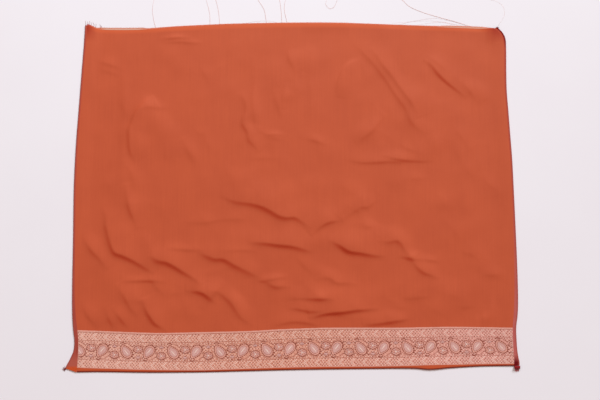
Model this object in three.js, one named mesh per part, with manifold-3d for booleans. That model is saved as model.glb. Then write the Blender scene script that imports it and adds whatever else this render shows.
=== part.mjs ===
// A cut length of silk saree cloth with a woven brocade border, laid flat on a table with its folds and rolled edges.
// x runs across the cloth from selvage to selvage, y from the border to the raw end, z up. Sizes are in millimetres.
import * as THREE from "three";
import { mergeVertices } from "three/addons/utils/BufferGeometryUtils.js";
import Module from "manifold-3d";

const wasm = await Module();
wasm.setup();

// Driving dimensions
const WALL = 1.0; // the cloth as a wall
const SEAM = 0.3; // gap between neighbouring pieces
const COLUMNS = 44; // cells across the cloth
const BORDER_ROWS = 6; // cells up the brocade border
const ROW_PITCH = 15; // cells up the lower, creased part of the field
const OPEN_ROW_PITCH = 24; // and up its smoother upper part
const END_ROW_PITCH = 11; // and just below the raw end, where a corner is rounded
const CREASED_LENGTH = 440; // how far the creased part reaches above the border
const END_LENGTH = 56; // length of the last, finer rows
const EDGE_REACH = 46; // how far from a rolled edge the cloth comes down to the table
const HEM_REACH = 38; // the same at the turned-under end
const HEM_RETURN = 12; // cloth turned under at the border end
const SELVAGE_RETURN = 6; // cloth turned under at each selvage
const ROLL_CELLS = 4; // cells round the roll of an edge
const LEAST_BREADTH = 15; // narrowest flank of a fold that the cells can carry
const FLAT_BELOW = 0.25; // cloth that would lift less than this lies flat
const THREAD = 0.8; // a loose thread's thickness
const FRAY_SPACING = 15; // between the short threads of the raw end
const CENTRE = { x: -24.8, y: 59.6 }; // middle of the whole lie, which becomes the part's origin

// A short table: one row for each station, with named columns.
const table = (columns, rows) =>
  rows.map((row) => Object.fromEntries(columns.map((name, k) => [name, row[k]])));

// The raw end, from the left selvage to the right one.
const RAW_END = table(["x", "y"], [
  [-561, 459.5], [-541, 453], [-528, 448], [-494, 445.5], [-414, 446], [-338, 451], [-260, 455], [-177, 458.7],
  [-26, 461.5], [78, 461.5], [130, 460.6], [260, 455.8], [390, 451.5], [468, 448.5], [512, 448],
]);
// Where the field meets the border.
const BORDER_HEAD = table(["x", "y"], [
  [-556, -326], [-497, -328], [-423, -331], [-348, -333], [-249, -331], [-124, -328], [-50, -324], [0, -322],
  [75, -320], [249, -320], [373, -318], [532, -320],
]);
// The border's lower line, the turned-under end below it, and how high that soft fold stands.
const HEM = table(["x", "foot", "edge", "rise"], [
  [-556, -418, -429, 2.4], [-494, -420, -428.4, 2.5], [-371, -423.4, -429.8, 2.6], [-247, -424.4, -429, 2.4],
  [-198, -423, -428, 2.4], [0, -417, -423, 2.6], [198, -415, -420.6, 2.4], [284, -413, -420.4, 3.2],
  [321, -411.6, -423, 4.4], [371, -411, -419, 3.2], [445, -409.4, -415, 2.5], [532, -408.6, -413.4, 2.8],
]);
// Each side: the line where the selvage joins, the rolled edge outside it, and how high the roll stands.
const SIDE_COLUMNS = ["y", "seam", "outX", "outY", "rise"];
const LEFT_SIDE = table(SIDE_COLUMNS, [
  [-430, -552, -581, -420, 2.4], [-417, -551, -577, -411, 2.6], [-400, -550, -570, -398, 3.0],
  [-375, -549.5, -561, -375, 3.2], [-350, -550, -560, -350, 3.4], [-326, -553, -563.5, -326, 3.4],
  [-290, -558.5, -567, -290, 3.2], [-227, -563, -569.5, -227, 3.0], [-102, -566, -571.5, -102, 2.6],
  [26, -568.5, -574, 26, 2.8], [116, -567.5, -573, 116, 3.0], [168, -566, -571.5, 168, 2.8],
  [233, -563, -568.5, 233, 2.6], [320, -559, -564.5, 320, 3.0], [405, -555, -560.5, 405, 3.0],
  [460, -553, -558.5, 460.5, 4.0],
]);
const RIGHT_SIDE = table(SIDE_COLUMNS, [
  [-414, 529, 543, -412, 3.0], [-404, 529.5, 543, -403, 3.2], [-394, 530, 541, -394, 3.4],
  [-375, 529, 538.5, -375, 3.4], [-350, 528.5, 537.5, -350, 3.4], [-321, 528.5, 537.5, -321, 3.6],
  [-289, 532, 542, -289, 3.4], [-264, 534, 544, -264, 3.2], [-227, 536, 545, -227, 3.0],
  [-147, 538, 545, -147, 2.8], [-64, 538, 544, -64, 2.6], [0, 537.5, 543, 0, 2.8], [103, 535.5, 541, 103, 3.0],
  [168, 532.5, 538, 168, 2.8], [233, 529.5, 535, 233, 2.6], [286, 526.8, 532.5, 286, 2.8],
  [339, 527, 533, 339, 3.0], [403, 528, 534.3, 404, 3.6], [421, 525.6, 532.6, 424, 4.2],
  [434, 519.5, 526, 438, 4.6], [442, 512.5, 518.5, 446.5, 4.8], [448, 505, 511.5, 452.5, 5.0],
]);
// The largest folds. Walking from the start to the end, the steep flank is on the right and the soft one on the left.
// bow is how far the middle stands off to the left.
const FOLD_COLUMNS = ["fromX", "fromY", "toX", "toY", "bow", "height", "steep", "soft"];
const FOLDS = table(FOLD_COLUMNS, [
  [-400, 246, -432, 84, -22, 4.2, 6, 22], // the arc at the upper left
  [-438, 25, -421, -55, -4, 2.1, 7, 18],
  [-150, 276, -114, 128, -9, 2.3, 7, 18],
  [125, 406, 300, 183, 16, 3.1, 7, 14], // the long pair at the upper right
  [180, 389, 292, 231, 8, 2.9, 7, 20],
  [84, 288, 143, 366, 7, 2.1, 7, 16],
  [326, 367, 424, 268, -4, 4.4, 6, 20],
  [117, 99, 258, 102, -4, 2.9, 5, 14],
  [236, 108, 358, 96, 0, 3.1, 5, 16],
  [-502, -5, -457, -136, -12, 4.9, 7, 26], // the long bend at the lower left
  [-462, -130, -370, -190, 6, 5.5, 7, 26],
  [-371, -151, -244, -214, 8, 5.2, 7, 26],
  [-266, -230, -219, -249, 5, 4.9, 6, 18],
  [-214, -228, -135, -298, 5, 3.1, 7, 18],
  [-253, -141, -94, -200, 6, 3.9, 7, 24],
  [-205, 14, 18, -71, 5, 4.4, 7, 26],
  [37, -79, 82, -58, 4, 2.6, 6, 16],
  [-124, -107, 35, -134, 6, 4.4, 6, 24],
  [-452, -224, -398, -293, -5, 2.3, 7, 18],
  [-388, -270, -334, -322, -5, 3.4, 7, 18],
  [-536, -79, -489, -167, -4, 2.1, 8, 20],
  [-558, -257, -512, -340, -4, 3.1, 7, 18],
  [-88, -326, 4, -305, -3, 3.9, 5, 14],
  [61, -108, 211, -144, -8, 4.7, 5, 22],
  [200, -107, 262, -124, 10, 2.9, 7, 20],
  [258, -121, 332, -195, -6, 3.4, 7, 20],
  [48, -196, 135, -213, 0, 2.1, 7, 16],
  [40, -292, 193, -273, 7, 4.9, 4, 20], // the sharp one above the border
  [180, -316, 268, -300, 2, 2.6, 4, 14],
  [473, -247, 456, -309, -2, 2.1, 6, 12],
]);
// Places where the cloth stands a little off the table, each a low round swell.
const SWELLS = table(["x", "y", "height", "reachX", "reachY"], [
  [-556, 462, 4.0, 26, 20], [-300, 452, 1.4, 70, 26], [60, 462, 1.8, 120, 24], [400, 452, 1.4, 60, 22],
  [500, 442, 3.2, 44, 40], [-360, 180, 1.6, 60, 70], [-40, 330, 1.4, 110, 60], [330, 210, 1.8, 90, 70],
  [430, 10, 1.4, 60, 110], [-60, 30, 1.6, 130, 50], [-480, -210, 2.0, 46, 80], [-170, -110, 1.6, 90, 40],
  [130, -110, 1.8, 90, 40], [100, -240, 1.8, 110, 30], [380, -230, 1.6, 80, 50], [-300, -270, 1.6, 70, 36],
  [120, -366, 1.0, 60, 26], [-200, -372, 1.0, 80, 26], [420, -362, 1.2, 50, 26],
]);
// How far the sheer, frayed strip reaches beyond the raw end.
const FRAY = table(["x", "reach"], [
  [-556, 1.2], [-530, 2.2], [-516, 5], [-410, 5], [-396, 2.8], [-300, 3.6], [60, 4.2], [356, 3.4], [384, 4.8],
  [470, 5], [490, 2.6], [512, 1.4],
]);
// Long loose threads of the raw end, each as the points it lies along.
const LONG_THREADS = [
  [[-375, 451], [-381, 472], [-385, 504], [-380, 534]],
  [[-224, 459], [-231, 492], [-244, 530]],
  [[-203, 460], [-208, 498], [-221, 534], [-224, 542]],
  [[-87, 463], [-93, 498], [-104, 518], [-116, 537]],
  [[-47, 464], [-49, 494], [-53, 524], [-62, 540]],
  [[-33, 464], [-41, 503], [-36, 530], [-24, 542]],
  [[443, 455], [404, 468], [365, 479], [326, 491], [287, 508], [262, 530], [220, 544], [150, 548], [100, 535],
    [78, 517], [69, 504]],
];

const smooth = (t) => {
  const s = Math.min(Math.max(t, 0), 1);
  return s * s * (3 - 2 * s);
};
const mix = (a, b, t) => a + (b - a) * t;

// A smooth curve through a table's rows: the value in one column, for a place along another.
function follow(rows, along, value) {
  const u = rows.map((row) => row[along]);
  const v = rows.map((row) => row[value]);
  const last = u.length - 1;
  const slope = v.map((_, k) => {
    const before = Math.max(k - 1, 0);
    const after = Math.min(k + 1, last);
    return (v[after] - v[before]) / (u[after] - u[before]);
  });
  return (place) => {
    const at = Math.min(Math.max(place, u[0]), u[last]);
    let k = 0;
    while (k < last - 1 && at > u[k + 1]) k += 1;
    const step = u[k + 1] - u[k];
    const t = (at - u[k]) / step;
    const ease = t * t * (3 - 2 * t);
    const lead = t * (1 - t) * (1 - t) * step;
    const trail = t * t * (t - 1) * step;
    return mix(v[k], v[k + 1], ease) + lead * slope[k] + trail * slope[k + 1];
  };
}

const rawEnd = follow(RAW_END, "x", "y");
const borderHead = follow(BORDER_HEAD, "x", "y");
const hemFoot = follow(HEM, "x", "foot");
const hemEdge = follow(HEM, "x", "edge");
const hemRise = follow(HEM, "x", "rise");
const frayReach = follow(FRAY, "x", "reach");
const sideOf = (rows) =>
  Object.fromEntries(SIDE_COLUMNS.slice(1).map((name) => [name, follow(rows, "y", name)]));
const left = sideOf(LEFT_SIDE);
const right = sideOf(RIGHT_SIDE);

// The height that one fold adds at a point: a ridge along an arc, steep on one flank, soft on the other, fading at its ends.
function foldHeight(fold, x, y) {
  const spanX = fold.toX - fold.fromX;
  const spanY = fold.toY - fold.fromY;
  const length = Math.hypot(spanX, spanY);
  const alongX = spanX / length;
  const alongY = spanY / length;
  const along = ((x - fold.fromX) * alongX + (y - fold.fromY) * alongY) / length;
  if (along <= 0 || along >= 1) return 0;
  const off = (y - fold.fromY) * alongX - (x - fold.fromX) * alongY;
  const fromCrest = off - 4 * fold.bow * along * (1 - along);
  const flank = Math.max(fromCrest < 0 ? fold.steep : fold.soft, LEAST_BREADTH);
  const fade = Math.sin(Math.PI * along);
  return fold.height * fade * Math.exp(-((fromCrest / flank) ** 2));
}

// How high the cloth's underside stands above the table.
function lift(x, y) {
  let open = -FLAT_BELOW;
  for (const fold of FOLDS) open += foldHeight(fold, x, y);
  for (const swell of SWELLS)
    open += swell.height * Math.exp(-(((x - swell.x) / swell.reachX) ** 2) - ((y - swell.y) / swell.reachY) ** 2);
  const edges = [
    { near: 1 - smooth((x - left.seam(y)) / EDGE_REACH), rise: left.rise(y) },
    { near: 1 - smooth((right.seam(y) - x) / EDGE_REACH), rise: right.rise(y) },
    { near: 1 - smooth((y - hemFoot(x)) / HEM_REACH), rise: hemRise(x) },
  ];
  const nearness = edges.reduce((sum, edge) => sum + edge.near, 0);
  const edgeLift = edges.reduce((sum, edge) => sum + edge.near * edge.rise, 0) / Math.max(nearness, 1);
  return edgeLift + Math.max(open, 0) * Math.max(1 - nearness, 0);
}

// A point of the laid cloth: a share of the way across, and a share of the way between two lines.
function lay(across, up, lowLine, highLine) {
  let x = mix(left.seam(0), right.seam(0), across);
  let y = 0;
  for (let pass = 0; pass < 6; pass += 1) {
    y = mix(lowLine(x), highLine(x), up);
    x = mix(left.seam(y), right.seam(y), across);
  }
  return { x, y };
}

// A closed wall between two grids of points, with its rims.
function wall(across, along, outer, inner) {
  const points = [];
  for (const face of [outer, inner])
    for (let j = 0; j <= along; j += 1)
      for (let i = 0; i <= across; i += 1) points.push(...face(i, j));
  const at = (side, i, j) => (side * (along + 1) + j) * (across + 1) + i;
  const triangles = [];
  const quad = (a, b, c, d) => triangles.push(a, b, c, a, c, d);
  for (let j = 0; j < along; j += 1)
    for (let i = 0; i < across; i += 1) {
      quad(at(0, i, j), at(0, i + 1, j), at(0, i + 1, j + 1), at(0, i, j + 1));
      quad(at(1, i, j), at(1, i, j + 1), at(1, i + 1, j + 1), at(1, i + 1, j));
    }
  for (let i = 0; i < across; i += 1) {
    quad(at(1, i, 0), at(1, i + 1, 0), at(0, i + 1, 0), at(0, i, 0));
    quad(at(0, i, along), at(0, i + 1, along), at(1, i + 1, along), at(1, i, along));
  }
  for (let j = 0; j < along; j += 1) {
    quad(at(1, 0, j + 1), at(1, 0, j), at(0, 0, j), at(0, 0, j + 1));
    quad(at(0, across, j + 1), at(0, across, j), at(1, across, j), at(1, across, j + 1));
  }
  const geometry = new THREE.BufferGeometry();
  geometry.setAttribute("position", new THREE.Float32BufferAttribute(points, 3));
  geometry.setIndex(triangles);
  geometry.computeVertexNormals();
  return geometry;
}

// Rows of the field, as shares of its length, closer together where it is creased and at the raw end.
function fieldRows() {
  const length = rawEnd(0) - borderHead(0);
  const shares = [0];
  const upTo = (end, pitch) => {
    const start = shares.at(-1) * length;
    const cells = Math.round((end - start) / pitch);
    for (let k = 1; k <= cells; k += 1) shares.push(mix(start, end, k / cells) / length);
  };
  upTo(CREASED_LENGTH, ROW_PITCH);
  upTo(length - END_LENGTH, OPEN_ROW_PITCH);
  upTo(length, END_ROW_PITCH);
  return shares;
}
const FIELD_ROWS = fieldRows();
const BORDER_SHARES = Array.from({ length: BORDER_ROWS + 1 }, (_, k) => k / BORDER_ROWS);

// A flat-lying panel between two lines, its rims drawn in by half a seam.
function panel(shares, lowLine, highLine) {
  const half = SEAM / 2;
  const low = (x) => lowLine(x) + half;
  const high = (x) => highLine(x) - half;
  const grid = shares.map((share) =>
    Array.from({ length: COLUMNS + 1 }, (_, i) => {
      const point = lay(i / COLUMNS, share, low, high);
      const inset = i === 0 ? half : i === COLUMNS ? -half : 0;
      return { x: point.x + inset, y: point.y, z: lift(point.x, point.y) };
    }),
  );
  const top = (i, j) => [grid[j][i].x, grid[j][i].y, grid[j][i].z + WALL];
  const underside = (i, j) => [grid[j][i].x, grid[j][i].y, grid[j][i].z];
  return wall(COLUMNS, shares.length - 1, top, underside);
}

// The section of a rolled edge, from its seam out, round the roll and back under: centre points with outward normals.
function rollSection(seam, out, rise, turnedUnder) {
  const spanX = out.x - seam.x;
  const spanY = out.y - seam.y;
  const span = Math.hypot(spanX, spanY);
  const toward = { x: spanX / span, y: spanY / span };
  const radius = rise / 2;
  const flat = span - radius - WALL / 2;
  const point = (reach, z, normalOut, normalUp) => ({
    x: seam.x + toward.x * reach,
    y: seam.y + toward.y * reach,
    z,
    nx: toward.x * normalOut,
    ny: toward.y * normalOut,
    nz: normalUp,
  });
  const section = [point(SEAM / 2, rise + WALL / 2, 0, 1)];
  for (let k = 0; k <= ROLL_CELLS; k += 1) {
    const turn = (Math.PI * k) / ROLL_CELLS;
    const reach = flat + radius * Math.sin(turn);
    section.push(point(reach, radius + WALL / 2 + radius * Math.cos(turn), Math.sin(turn), Math.cos(turn)));
  }
  section.push(point(flat - turnedUnder, WALL / 2, 0, -1));
  return section;
}
const outside = (p) => [p.x + (p.nx * WALL) / 2, p.y + (p.ny * WALL) / 2, p.z + (p.nz * WALL) / 2];
const inside = (p) => [p.x - (p.nx * WALL) / 2, p.y - (p.ny * WALL) / 2, p.z - (p.nz * WALL) / 2];

// A selvage: the dense woven edge, rolled under along the whole side.
function selvage(side, across) {
  const hemSeam = lay(across, 0, hemEdge, hemFoot);
  const stations = [
    hemSeam,
    ...BORDER_SHARES.map((share) => lay(across, share, hemFoot, borderHead)),
    ...FIELD_ROWS.slice(1).map((share) => lay(across, share, borderHead, rawEnd)),
  ];
  const sections = stations.map((seam) => {
    const out = { x: side.outX(seam.y), y: side.outY(seam.y) };
    return rollSection(seam, out, lift(seam.x, seam.y), SELVAGE_RETURN);
  });
  if (across === 0) sections.forEach((section) => section.reverse());
  return wall(
    sections[0].length - 1,
    sections.length - 1,
    (i, j) => outside(sections[j][i]),
    (i, j) => inside(sections[j][i]),
  );
}

// The end below the border, turned under in a soft fold.
function hem() {
  const sections = Array.from({ length: COLUMNS + 1 }, (_, i) => {
    const seam = lay(i / COLUMNS, 0, hemFoot, borderHead);
    const inset = i === 0 ? SEAM / 2 : i === COLUMNS ? -SEAM / 2 : 0;
    const foot = { x: seam.x + inset, y: seam.y };
    const out = { x: foot.x, y: hemEdge(seam.x) };
    return rollSection(foot, out, lift(seam.x, seam.y), HEM_RETURN).reverse();
  });
  return wall(
    COLUMNS,
    sections[0].length - 1,
    (i, j) => outside(sections[i][j]),
    (i, j) => inside(sections[i][j]),
  );
}

// The lower end of the right selvage, curled up on itself like a shaving.
function selvageCurl() {
  const cells = 18;
  const lengthCells = 2;
  const turns = 1.5;
  const middle = { y: -417.2, z: 3.3 };
  const from = 530;
  const length = 13.5;
  const innerRadius = 1.3;
  const outerRadius = 4.0;
  const flattened = 0.72; // the curl sags under its own weight
  const spiral = (k, offset) => {
    const turn = (k / cells) * turns * 2 * Math.PI;
    const radius = mix(outerRadius, innerRadius, k / cells) + offset;
    return [middle.y - Math.sin(turn) * radius, middle.z - Math.cos(turn) * radius * flattened];
  };
  const side = (offset) => (i, j) => {
    const narrowing = 1 - 0.1 * (i / lengthCells);
    const [y, z] = spiral(j, offset);
    return [from + (length * i) / lengthCells, mix(middle.y, y, narrowing), mix(middle.z, z, narrowing)];
  };
  return wall(lengthCells, cells, side(WALL / 2), side(-WALL / 2));
}

// A thread of square section along a smooth line through its points.
function thread(points, size = THREAD) {
  const half = size / 2;
  const section = new THREE.Shape([
    new THREE.Vector2(-half, -half),
    new THREE.Vector2(half, -half),
    new THREE.Vector2(half, half),
    new THREE.Vector2(-half, half),
  ]);
  const route = new THREE.CatmullRomCurve3(points.map((p) => new THREE.Vector3(...p)));
  const steps = points.length > 2 ? (points.length - 1) * 2 : 1;
  return new THREE.ExtrudeGeometry(section, { steps, extrudePath: route, bevelEnabled: false });
}

// Several closed shapes as one solid: threads fused into the strip that holds their roots.
function fuse(geometries) {
  const solids = geometries.map((geometry) => {
    const bare = geometry.clone();
    for (const name of ["normal", "uv"]) bare.deleteAttribute(name);
    const merged = mergeVertices(bare, 1e-4);
    return new wasm.Manifold(
      new wasm.Mesh({
        numProp: 3,
        vertProperties: new Float32Array(merged.attributes.position.array),
        triVerts: new Uint32Array(merged.index.array),
      }),
    );
  });
  const { vertProperties, triVerts } = solids.reduce((whole, solid) => whole.add(solid)).getMesh();
  const geometry = new THREE.BufferGeometry();
  geometry.setAttribute("position", new THREE.Float32BufferAttribute(vertProperties, 3));
  geometry.setIndex(Array.from(triVerts));
  geometry.computeVertexNormals();
  return geometry;
}

// An even scatter from 0 to 1 that is the same each time.
const scatter = (k, turn) => (k * turn) % 1;

// The raw end's frayed edge: a sheer strip with short threads standing out of it, and the long loose ones.
function frayedEnd() {
  const gap = SEAM / 2;
  const foot = (i) => lay(i / COLUMNS, 1, borderHead, rawEnd);
  const edge = (raise) => (i, j) => {
    const point = foot(i);
    const reach = j === 0 ? gap : gap + frayReach(point.x);
    const inset = i === 0 ? gap : i === COLUMNS ? -gap : 0;
    return [point.x + inset, point.y + reach, lift(point.x, point.y) + raise];
  };
  const pieces = [wall(COLUMNS, 1, edge(WALL), edge(0))];
  const reachOut = (x) => rawEnd(x) + frayReach(x);
  const rootAt = (x, y) => [x, y, lift(x, rawEnd(x)) + WALL / 2];
  const longTaken = LONG_THREADS.map((points) => points[0][0]);
  const count = Math.floor((right.seam(450) - left.seam(460)) / FRAY_SPACING);
  for (let k = 1; k < count; k += 1) {
    const x = left.seam(460) + k * FRAY_SPACING;
    const crowded = longTaken.some((taken) => Math.abs(taken - x) < 7) || (x > 372 && x < 450);
    if (crowded) continue;
    const reach = 2.5 + 5 * scatter(k, 0.618);
    const lean = 3 * (scatter(k, 0.377) - 0.5);
    const root = rootAt(x, reachOut(x) - 1.2);
    pieces.push(thread([root, [x + lean, reachOut(x) + reach, Math.max(root[2] - 0.4, THREAD)]], THREAD * 0.8));
  }
  for (const points of LONG_THREADS) {
    const route = points.map(([x, y], k) => (k === 0 ? rootAt(x, reachOut(x) - 1.4) : [x, y, THREAD]));
    pieces.push(thread(route));
  }
  return fuse(pieces);
}

// A frayed corner: a narrow strip with a fan of threads.
function tuft(root, strip, threads) {
  const half = { x: strip.x / 2, y: strip.y / 2 };
  const base = wall(
    1,
    1,
    (i, j) => [root.x + mix(-half.x, half.x, i), root.y + mix(-half.y, half.y, j), strip.z + WALL],
    (i, j) => [root.x + mix(-half.x, half.x, i), root.y + mix(-half.y, half.y, j), strip.z],
  );
  const middle = strip.z + WALL / 2;
  const fan = threads.map((points) =>
    thread(points.map(([x, y, z], k) => [root.x + x, root.y + y, k === 0 ? middle : z]), THREAD * 0.75),
  );
  return fuse([base, ...fan]);
}
// Each thread's points are measured from the strip's middle.
const LOWER_LEFT_TUFT = {
  root: { x: -582.6, y: -419.8 },
  strip: { x: 3.2, y: 3.6, z: 0 },
  threads: [
    [[0, 1.2, 0], [-4, 5, 0.9], [-6, 11, 0.7]],
    [[-0.6, 0.6, 0], [-6, 2.4, 1.2], [-11, 6, 0.7]],
    [[-0.8, -0.2, 0], [-7, -0.4, 1.0], [-12, -2, 0.7]],
    [[-0.4, -1.0, 0], [-4, -3.4, 1.1], [-7, -7, 0.7]],
  ],
};
const LOWER_RIGHT_TUFT = {
  root: { x: 536.5, y: -421.9 },
  strip: { x: 11, y: 2.4, z: 0 },
  threads: [
    [[-4, -0.4, 0], [-4.8, -3, 1.0], [-5.6, -6, 0.7]],
    [[-1.4, -0.4, 0], [-1.6, -4, 1.2], [-1.2, -8, 0.7]],
    [[1.4, -0.4, 0], [2, -3.4, 1.0], [2.8, -6.4, 0.7]],
    [[4, -0.4, 0], [5.6, -3, 1.1], [8, -5, 0.7]],
  ],
};
const UPPER_RIGHT_TUFT = {
  root: { x: 508.8, y: 454.0 },
  strip: { x: 5, y: 2.4, z: 3.2 },
  threads: [
    [[1.2, 0.2, 0], [16, 14, 2.2], [24, 30, 0.8], [22, 50, 0.8], [8, 64, 0.8], [-18, 72, 0.8]],
    [[-1.2, 0.2, 0], [-2.4, 3, 3.4], [-4.6, 6, 2.2]],
    [[0, 0.2, 0], [0.8, 4, 3.2], [0.4, 8, 1.8]],
  ],
};
const tuftOf = ({ root, strip, threads }) => tuft(root, strip, threads);

// Finishes
const finish = (color, roughness, metalness = 0) =>
  new THREE.MeshStandardMaterial({ color, roughness, metalness });
const SATIN = finish(0xc45c3d, 0.5);
const BROCADE = finish(0xc98b7e, 0.4, 0.3);
const SELVAGE = finish(0xa84a40, 0.6);
const RAW_THREAD = finish(0xc98a74, 0.7);

const saree = new THREE.Group();
function add(name, geometry, material) {
  const mesh = new THREE.Mesh(geometry, material);
  mesh.name = name;
  saree.add(mesh);
}
add("field_panel", panel(FIELD_ROWS, borderHead, rawEnd), SATIN);
add("brocade_border", panel(BORDER_SHARES, hemFoot, borderHead), BROCADE);
add("turned_hem", hem(), SATIN);
add("selvage_left", selvage(left, 0), SELVAGE);
add("selvage_right", selvage(right, 1), SELVAGE);
add("frayed_end", frayedEnd(), RAW_THREAD);
add("selvage_curl", selvageCurl(), SELVAGE);
add("tuft_lower_left", tuftOf(LOWER_LEFT_TUFT), SELVAGE);
add("tuft_lower_right", tuftOf(LOWER_RIGHT_TUFT), SELVAGE);
add("tuft_upper_right", tuftOf(UPPER_RIGHT_TUFT), SELVAGE);
saree.position.set(-CENTRE.x, -CENTRE.y, 0);

export default saree;
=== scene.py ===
# %% [markdown]
# # A length of silk saree cloth
# The object is one flat layer of rust silk satin, laid on a pale table: a plain field, a woven
# zari border near the lower end, rolled selvages at both sides and a raw, frayed end at the top.
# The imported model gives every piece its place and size. This script dresses each of its solids
# with a thin, finely creased sheet, a real weave and its loose threads.

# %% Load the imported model
import math

import bpy
import numpy as np
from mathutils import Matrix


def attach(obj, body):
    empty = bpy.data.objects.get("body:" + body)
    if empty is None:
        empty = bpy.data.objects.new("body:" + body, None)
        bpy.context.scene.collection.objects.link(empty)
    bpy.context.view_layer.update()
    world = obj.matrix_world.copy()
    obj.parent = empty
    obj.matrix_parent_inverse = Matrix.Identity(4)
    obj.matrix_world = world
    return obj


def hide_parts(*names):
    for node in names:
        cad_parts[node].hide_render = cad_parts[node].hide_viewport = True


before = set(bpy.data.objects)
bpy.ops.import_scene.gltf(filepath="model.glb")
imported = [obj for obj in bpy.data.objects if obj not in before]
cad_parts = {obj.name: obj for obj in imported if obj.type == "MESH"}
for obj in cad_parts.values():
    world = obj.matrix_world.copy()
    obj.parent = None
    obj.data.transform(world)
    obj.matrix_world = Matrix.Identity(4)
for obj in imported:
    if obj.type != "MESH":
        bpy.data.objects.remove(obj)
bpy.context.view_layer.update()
scene = bpy.context.scene
MM = 0.001

# %% [markdown]
# ## The camera
# The picture is taken from above, a little in front of the cloth, so the camera looks down at
# 83 degrees. Places on the cloth are measured in millimetres from the point in the middle of the
# picture, and the model's own origin is the middle of the whole lie, so one shift joins the two.

# %% Camera and places
CENTRE = {"x": -24.8, "y": 59.6}
ELEVATION = math.radians(83)
FIELD_OF_VIEW = math.radians(40)
CAMERA_DISTANCE = 2090


def to_model(points):
    """Places on the cloth, in millimetres, as places in the model, in metres."""
    return (np.asarray(points, float) - (CENTRE["x"], CENTRE["y"], 0)) * MM


back = (0, -CAMERA_DISTANCE * math.cos(ELEVATION), CAMERA_DISTANCE * math.sin(ELEVATION))
camera_data = bpy.data.cameras.new("camera")
camera_data.angle = FIELD_OF_VIEW
camera = bpy.data.objects.new("camera", camera_data)
camera.location = to_model(back)
camera.rotation_euler = (math.pi / 2 - ELEVATION, 0, 0)
scene.collection.objects.link(camera)
scene.camera = camera
print("camera at", [round(value, 3) for value in camera.location])

# %% [markdown]
# ## The lie of the cloth
# Cloth laid by hand is never a true rectangle, so the outline is a few stations on smooth curves:
# the raw end, the line where the border starts, the turned-under end, and each selvage with the
# height of its roll. These are the same stations that the solids are made from.

# %% Stations of the outline
def table(columns, rows):
    """A short table as one array for each named column."""
    return {name: np.array([row[k] for row in rows], float) for k, name in enumerate(columns)}


RAW_END = table(["x", "y"], [
    [-561, 459.5], [-541, 453], [-528, 448], [-494, 445.5], [-414, 446], [-338, 451], [-260, 455],
    [-177, 458.7], [-26, 461.5], [78, 461.5], [130, 460.6], [260, 455.8], [390, 451.5], [468, 448.5],
    [512, 448],
])
BORDER_HEAD = table(["x", "y"], [
    [-556, -326], [-497, -328], [-423, -331], [-348, -333], [-249, -331], [-124, -328], [-50, -324],
    [0, -322], [75, -320], [249, -320], [373, -318], [532, -320],
])
HEM = table(["x", "foot", "edge", "rise"], [
    [-556, -418, -429, 2.4], [-494, -420, -428.4, 2.5], [-371, -423.4, -429.8, 2.6],
    [-247, -424.4, -429, 2.4], [-198, -423, -428, 2.4], [0, -417, -423, 2.6], [198, -415, -420.6, 2.4],
    [284, -413, -420.4, 3.2], [321, -411.6, -423, 4.4], [371, -411, -419, 3.2], [445, -409.4, -415, 2.5],
    [532, -408.6, -413.4, 2.8],
])
SIDE_COLUMNS = ["y", "seam", "outX", "outY", "rise"]
LEFT_SIDE = table(SIDE_COLUMNS, [
    [-430, -552, -581, -420, 2.4], [-417, -551, -577, -411, 2.6], [-400, -550, -570, -398, 3.0],
    [-375, -549.5, -561, -375, 3.2], [-350, -550, -560, -350, 3.4], [-326, -553, -563.5, -326, 3.4],
    [-290, -558.5, -567, -290, 3.2], [-227, -563, -569.5, -227, 3.0], [-102, -566, -571.5, -102, 2.6],
    [26, -568.5, -574, 26, 2.8], [116, -567.5, -573, 116, 3.0], [168, -566, -571.5, 168, 2.8],
    [233, -563, -568.5, 233, 2.6], [320, -559, -564.5, 320, 3.0], [405, -555, -560.5, 405, 3.0],
    [460, -553, -558.5, 460.5, 4.0],
])
RIGHT_SIDE = table(SIDE_COLUMNS, [
    [-414, 529, 543, -412, 3.0], [-404, 529.5, 543, -403, 3.2], [-394, 530, 541, -394, 3.4],
    [-375, 529, 538.5, -375, 3.4], [-350, 528.5, 537.5, -350, 3.4], [-321, 528.5, 537.5, -321, 3.6],
    [-289, 532, 542, -289, 3.4], [-264, 534, 544, -264, 3.2], [-227, 536, 545, -227, 3.0],
    [-147, 538, 545, -147, 2.8], [-64, 538, 544, -64, 2.6], [0, 537.5, 543, 0, 2.8],
    [103, 535.5, 541, 103, 3.0], [168, 532.5, 538, 168, 2.8], [233, 529.5, 535, 233, 2.6],
    [286, 526.8, 532.5, 286, 2.8], [339, 527, 533, 339, 3.0], [403, 528, 534.3, 404, 3.6],
    [421, 525.6, 532.6, 424, 4.2], [434, 519.5, 526, 438, 4.6], [442, 512.5, 518.5, 446.5, 4.8],
    [448, 505, 511.5, 452.5, 5.0],
])


def follow(rows, along, value):
    """A smooth curve through a table's rows, as a function that takes places along it."""
    u, v = rows[along], rows[value]
    station = np.arange(len(u))
    before, after = np.maximum(station - 1, 0), np.minimum(station + 1, len(u) - 1)
    slope = (v[after] - v[before]) / (u[after] - u[before])

    def at(place):
        place = np.clip(place, u[0], u[-1])
        k = np.clip(np.searchsorted(u, place, side="right") - 1, 0, len(u) - 2)
        step = u[k + 1] - u[k]
        t = (place - u[k]) / step
        lead, trail = t * (1 - t) ** 2 * step, t * t * (t - 1) * step
        return v[k] + (v[k + 1] - v[k]) * t * t * (3 - 2 * t) + lead * slope[k] + trail * slope[k + 1]

    return at


raw_end = follow(RAW_END, "x", "y")
border_head = follow(BORDER_HEAD, "x", "y")
hem_foot, hem_edge, hem_rise = (follow(HEM, "x", name) for name in ("foot", "edge", "rise"))
left_side, right_side = (
    {name: follow(rows, "y", name) for name in SIDE_COLUMNS[1:]} for rows in (LEFT_SIDE, RIGHT_SIDE)
)


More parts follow.
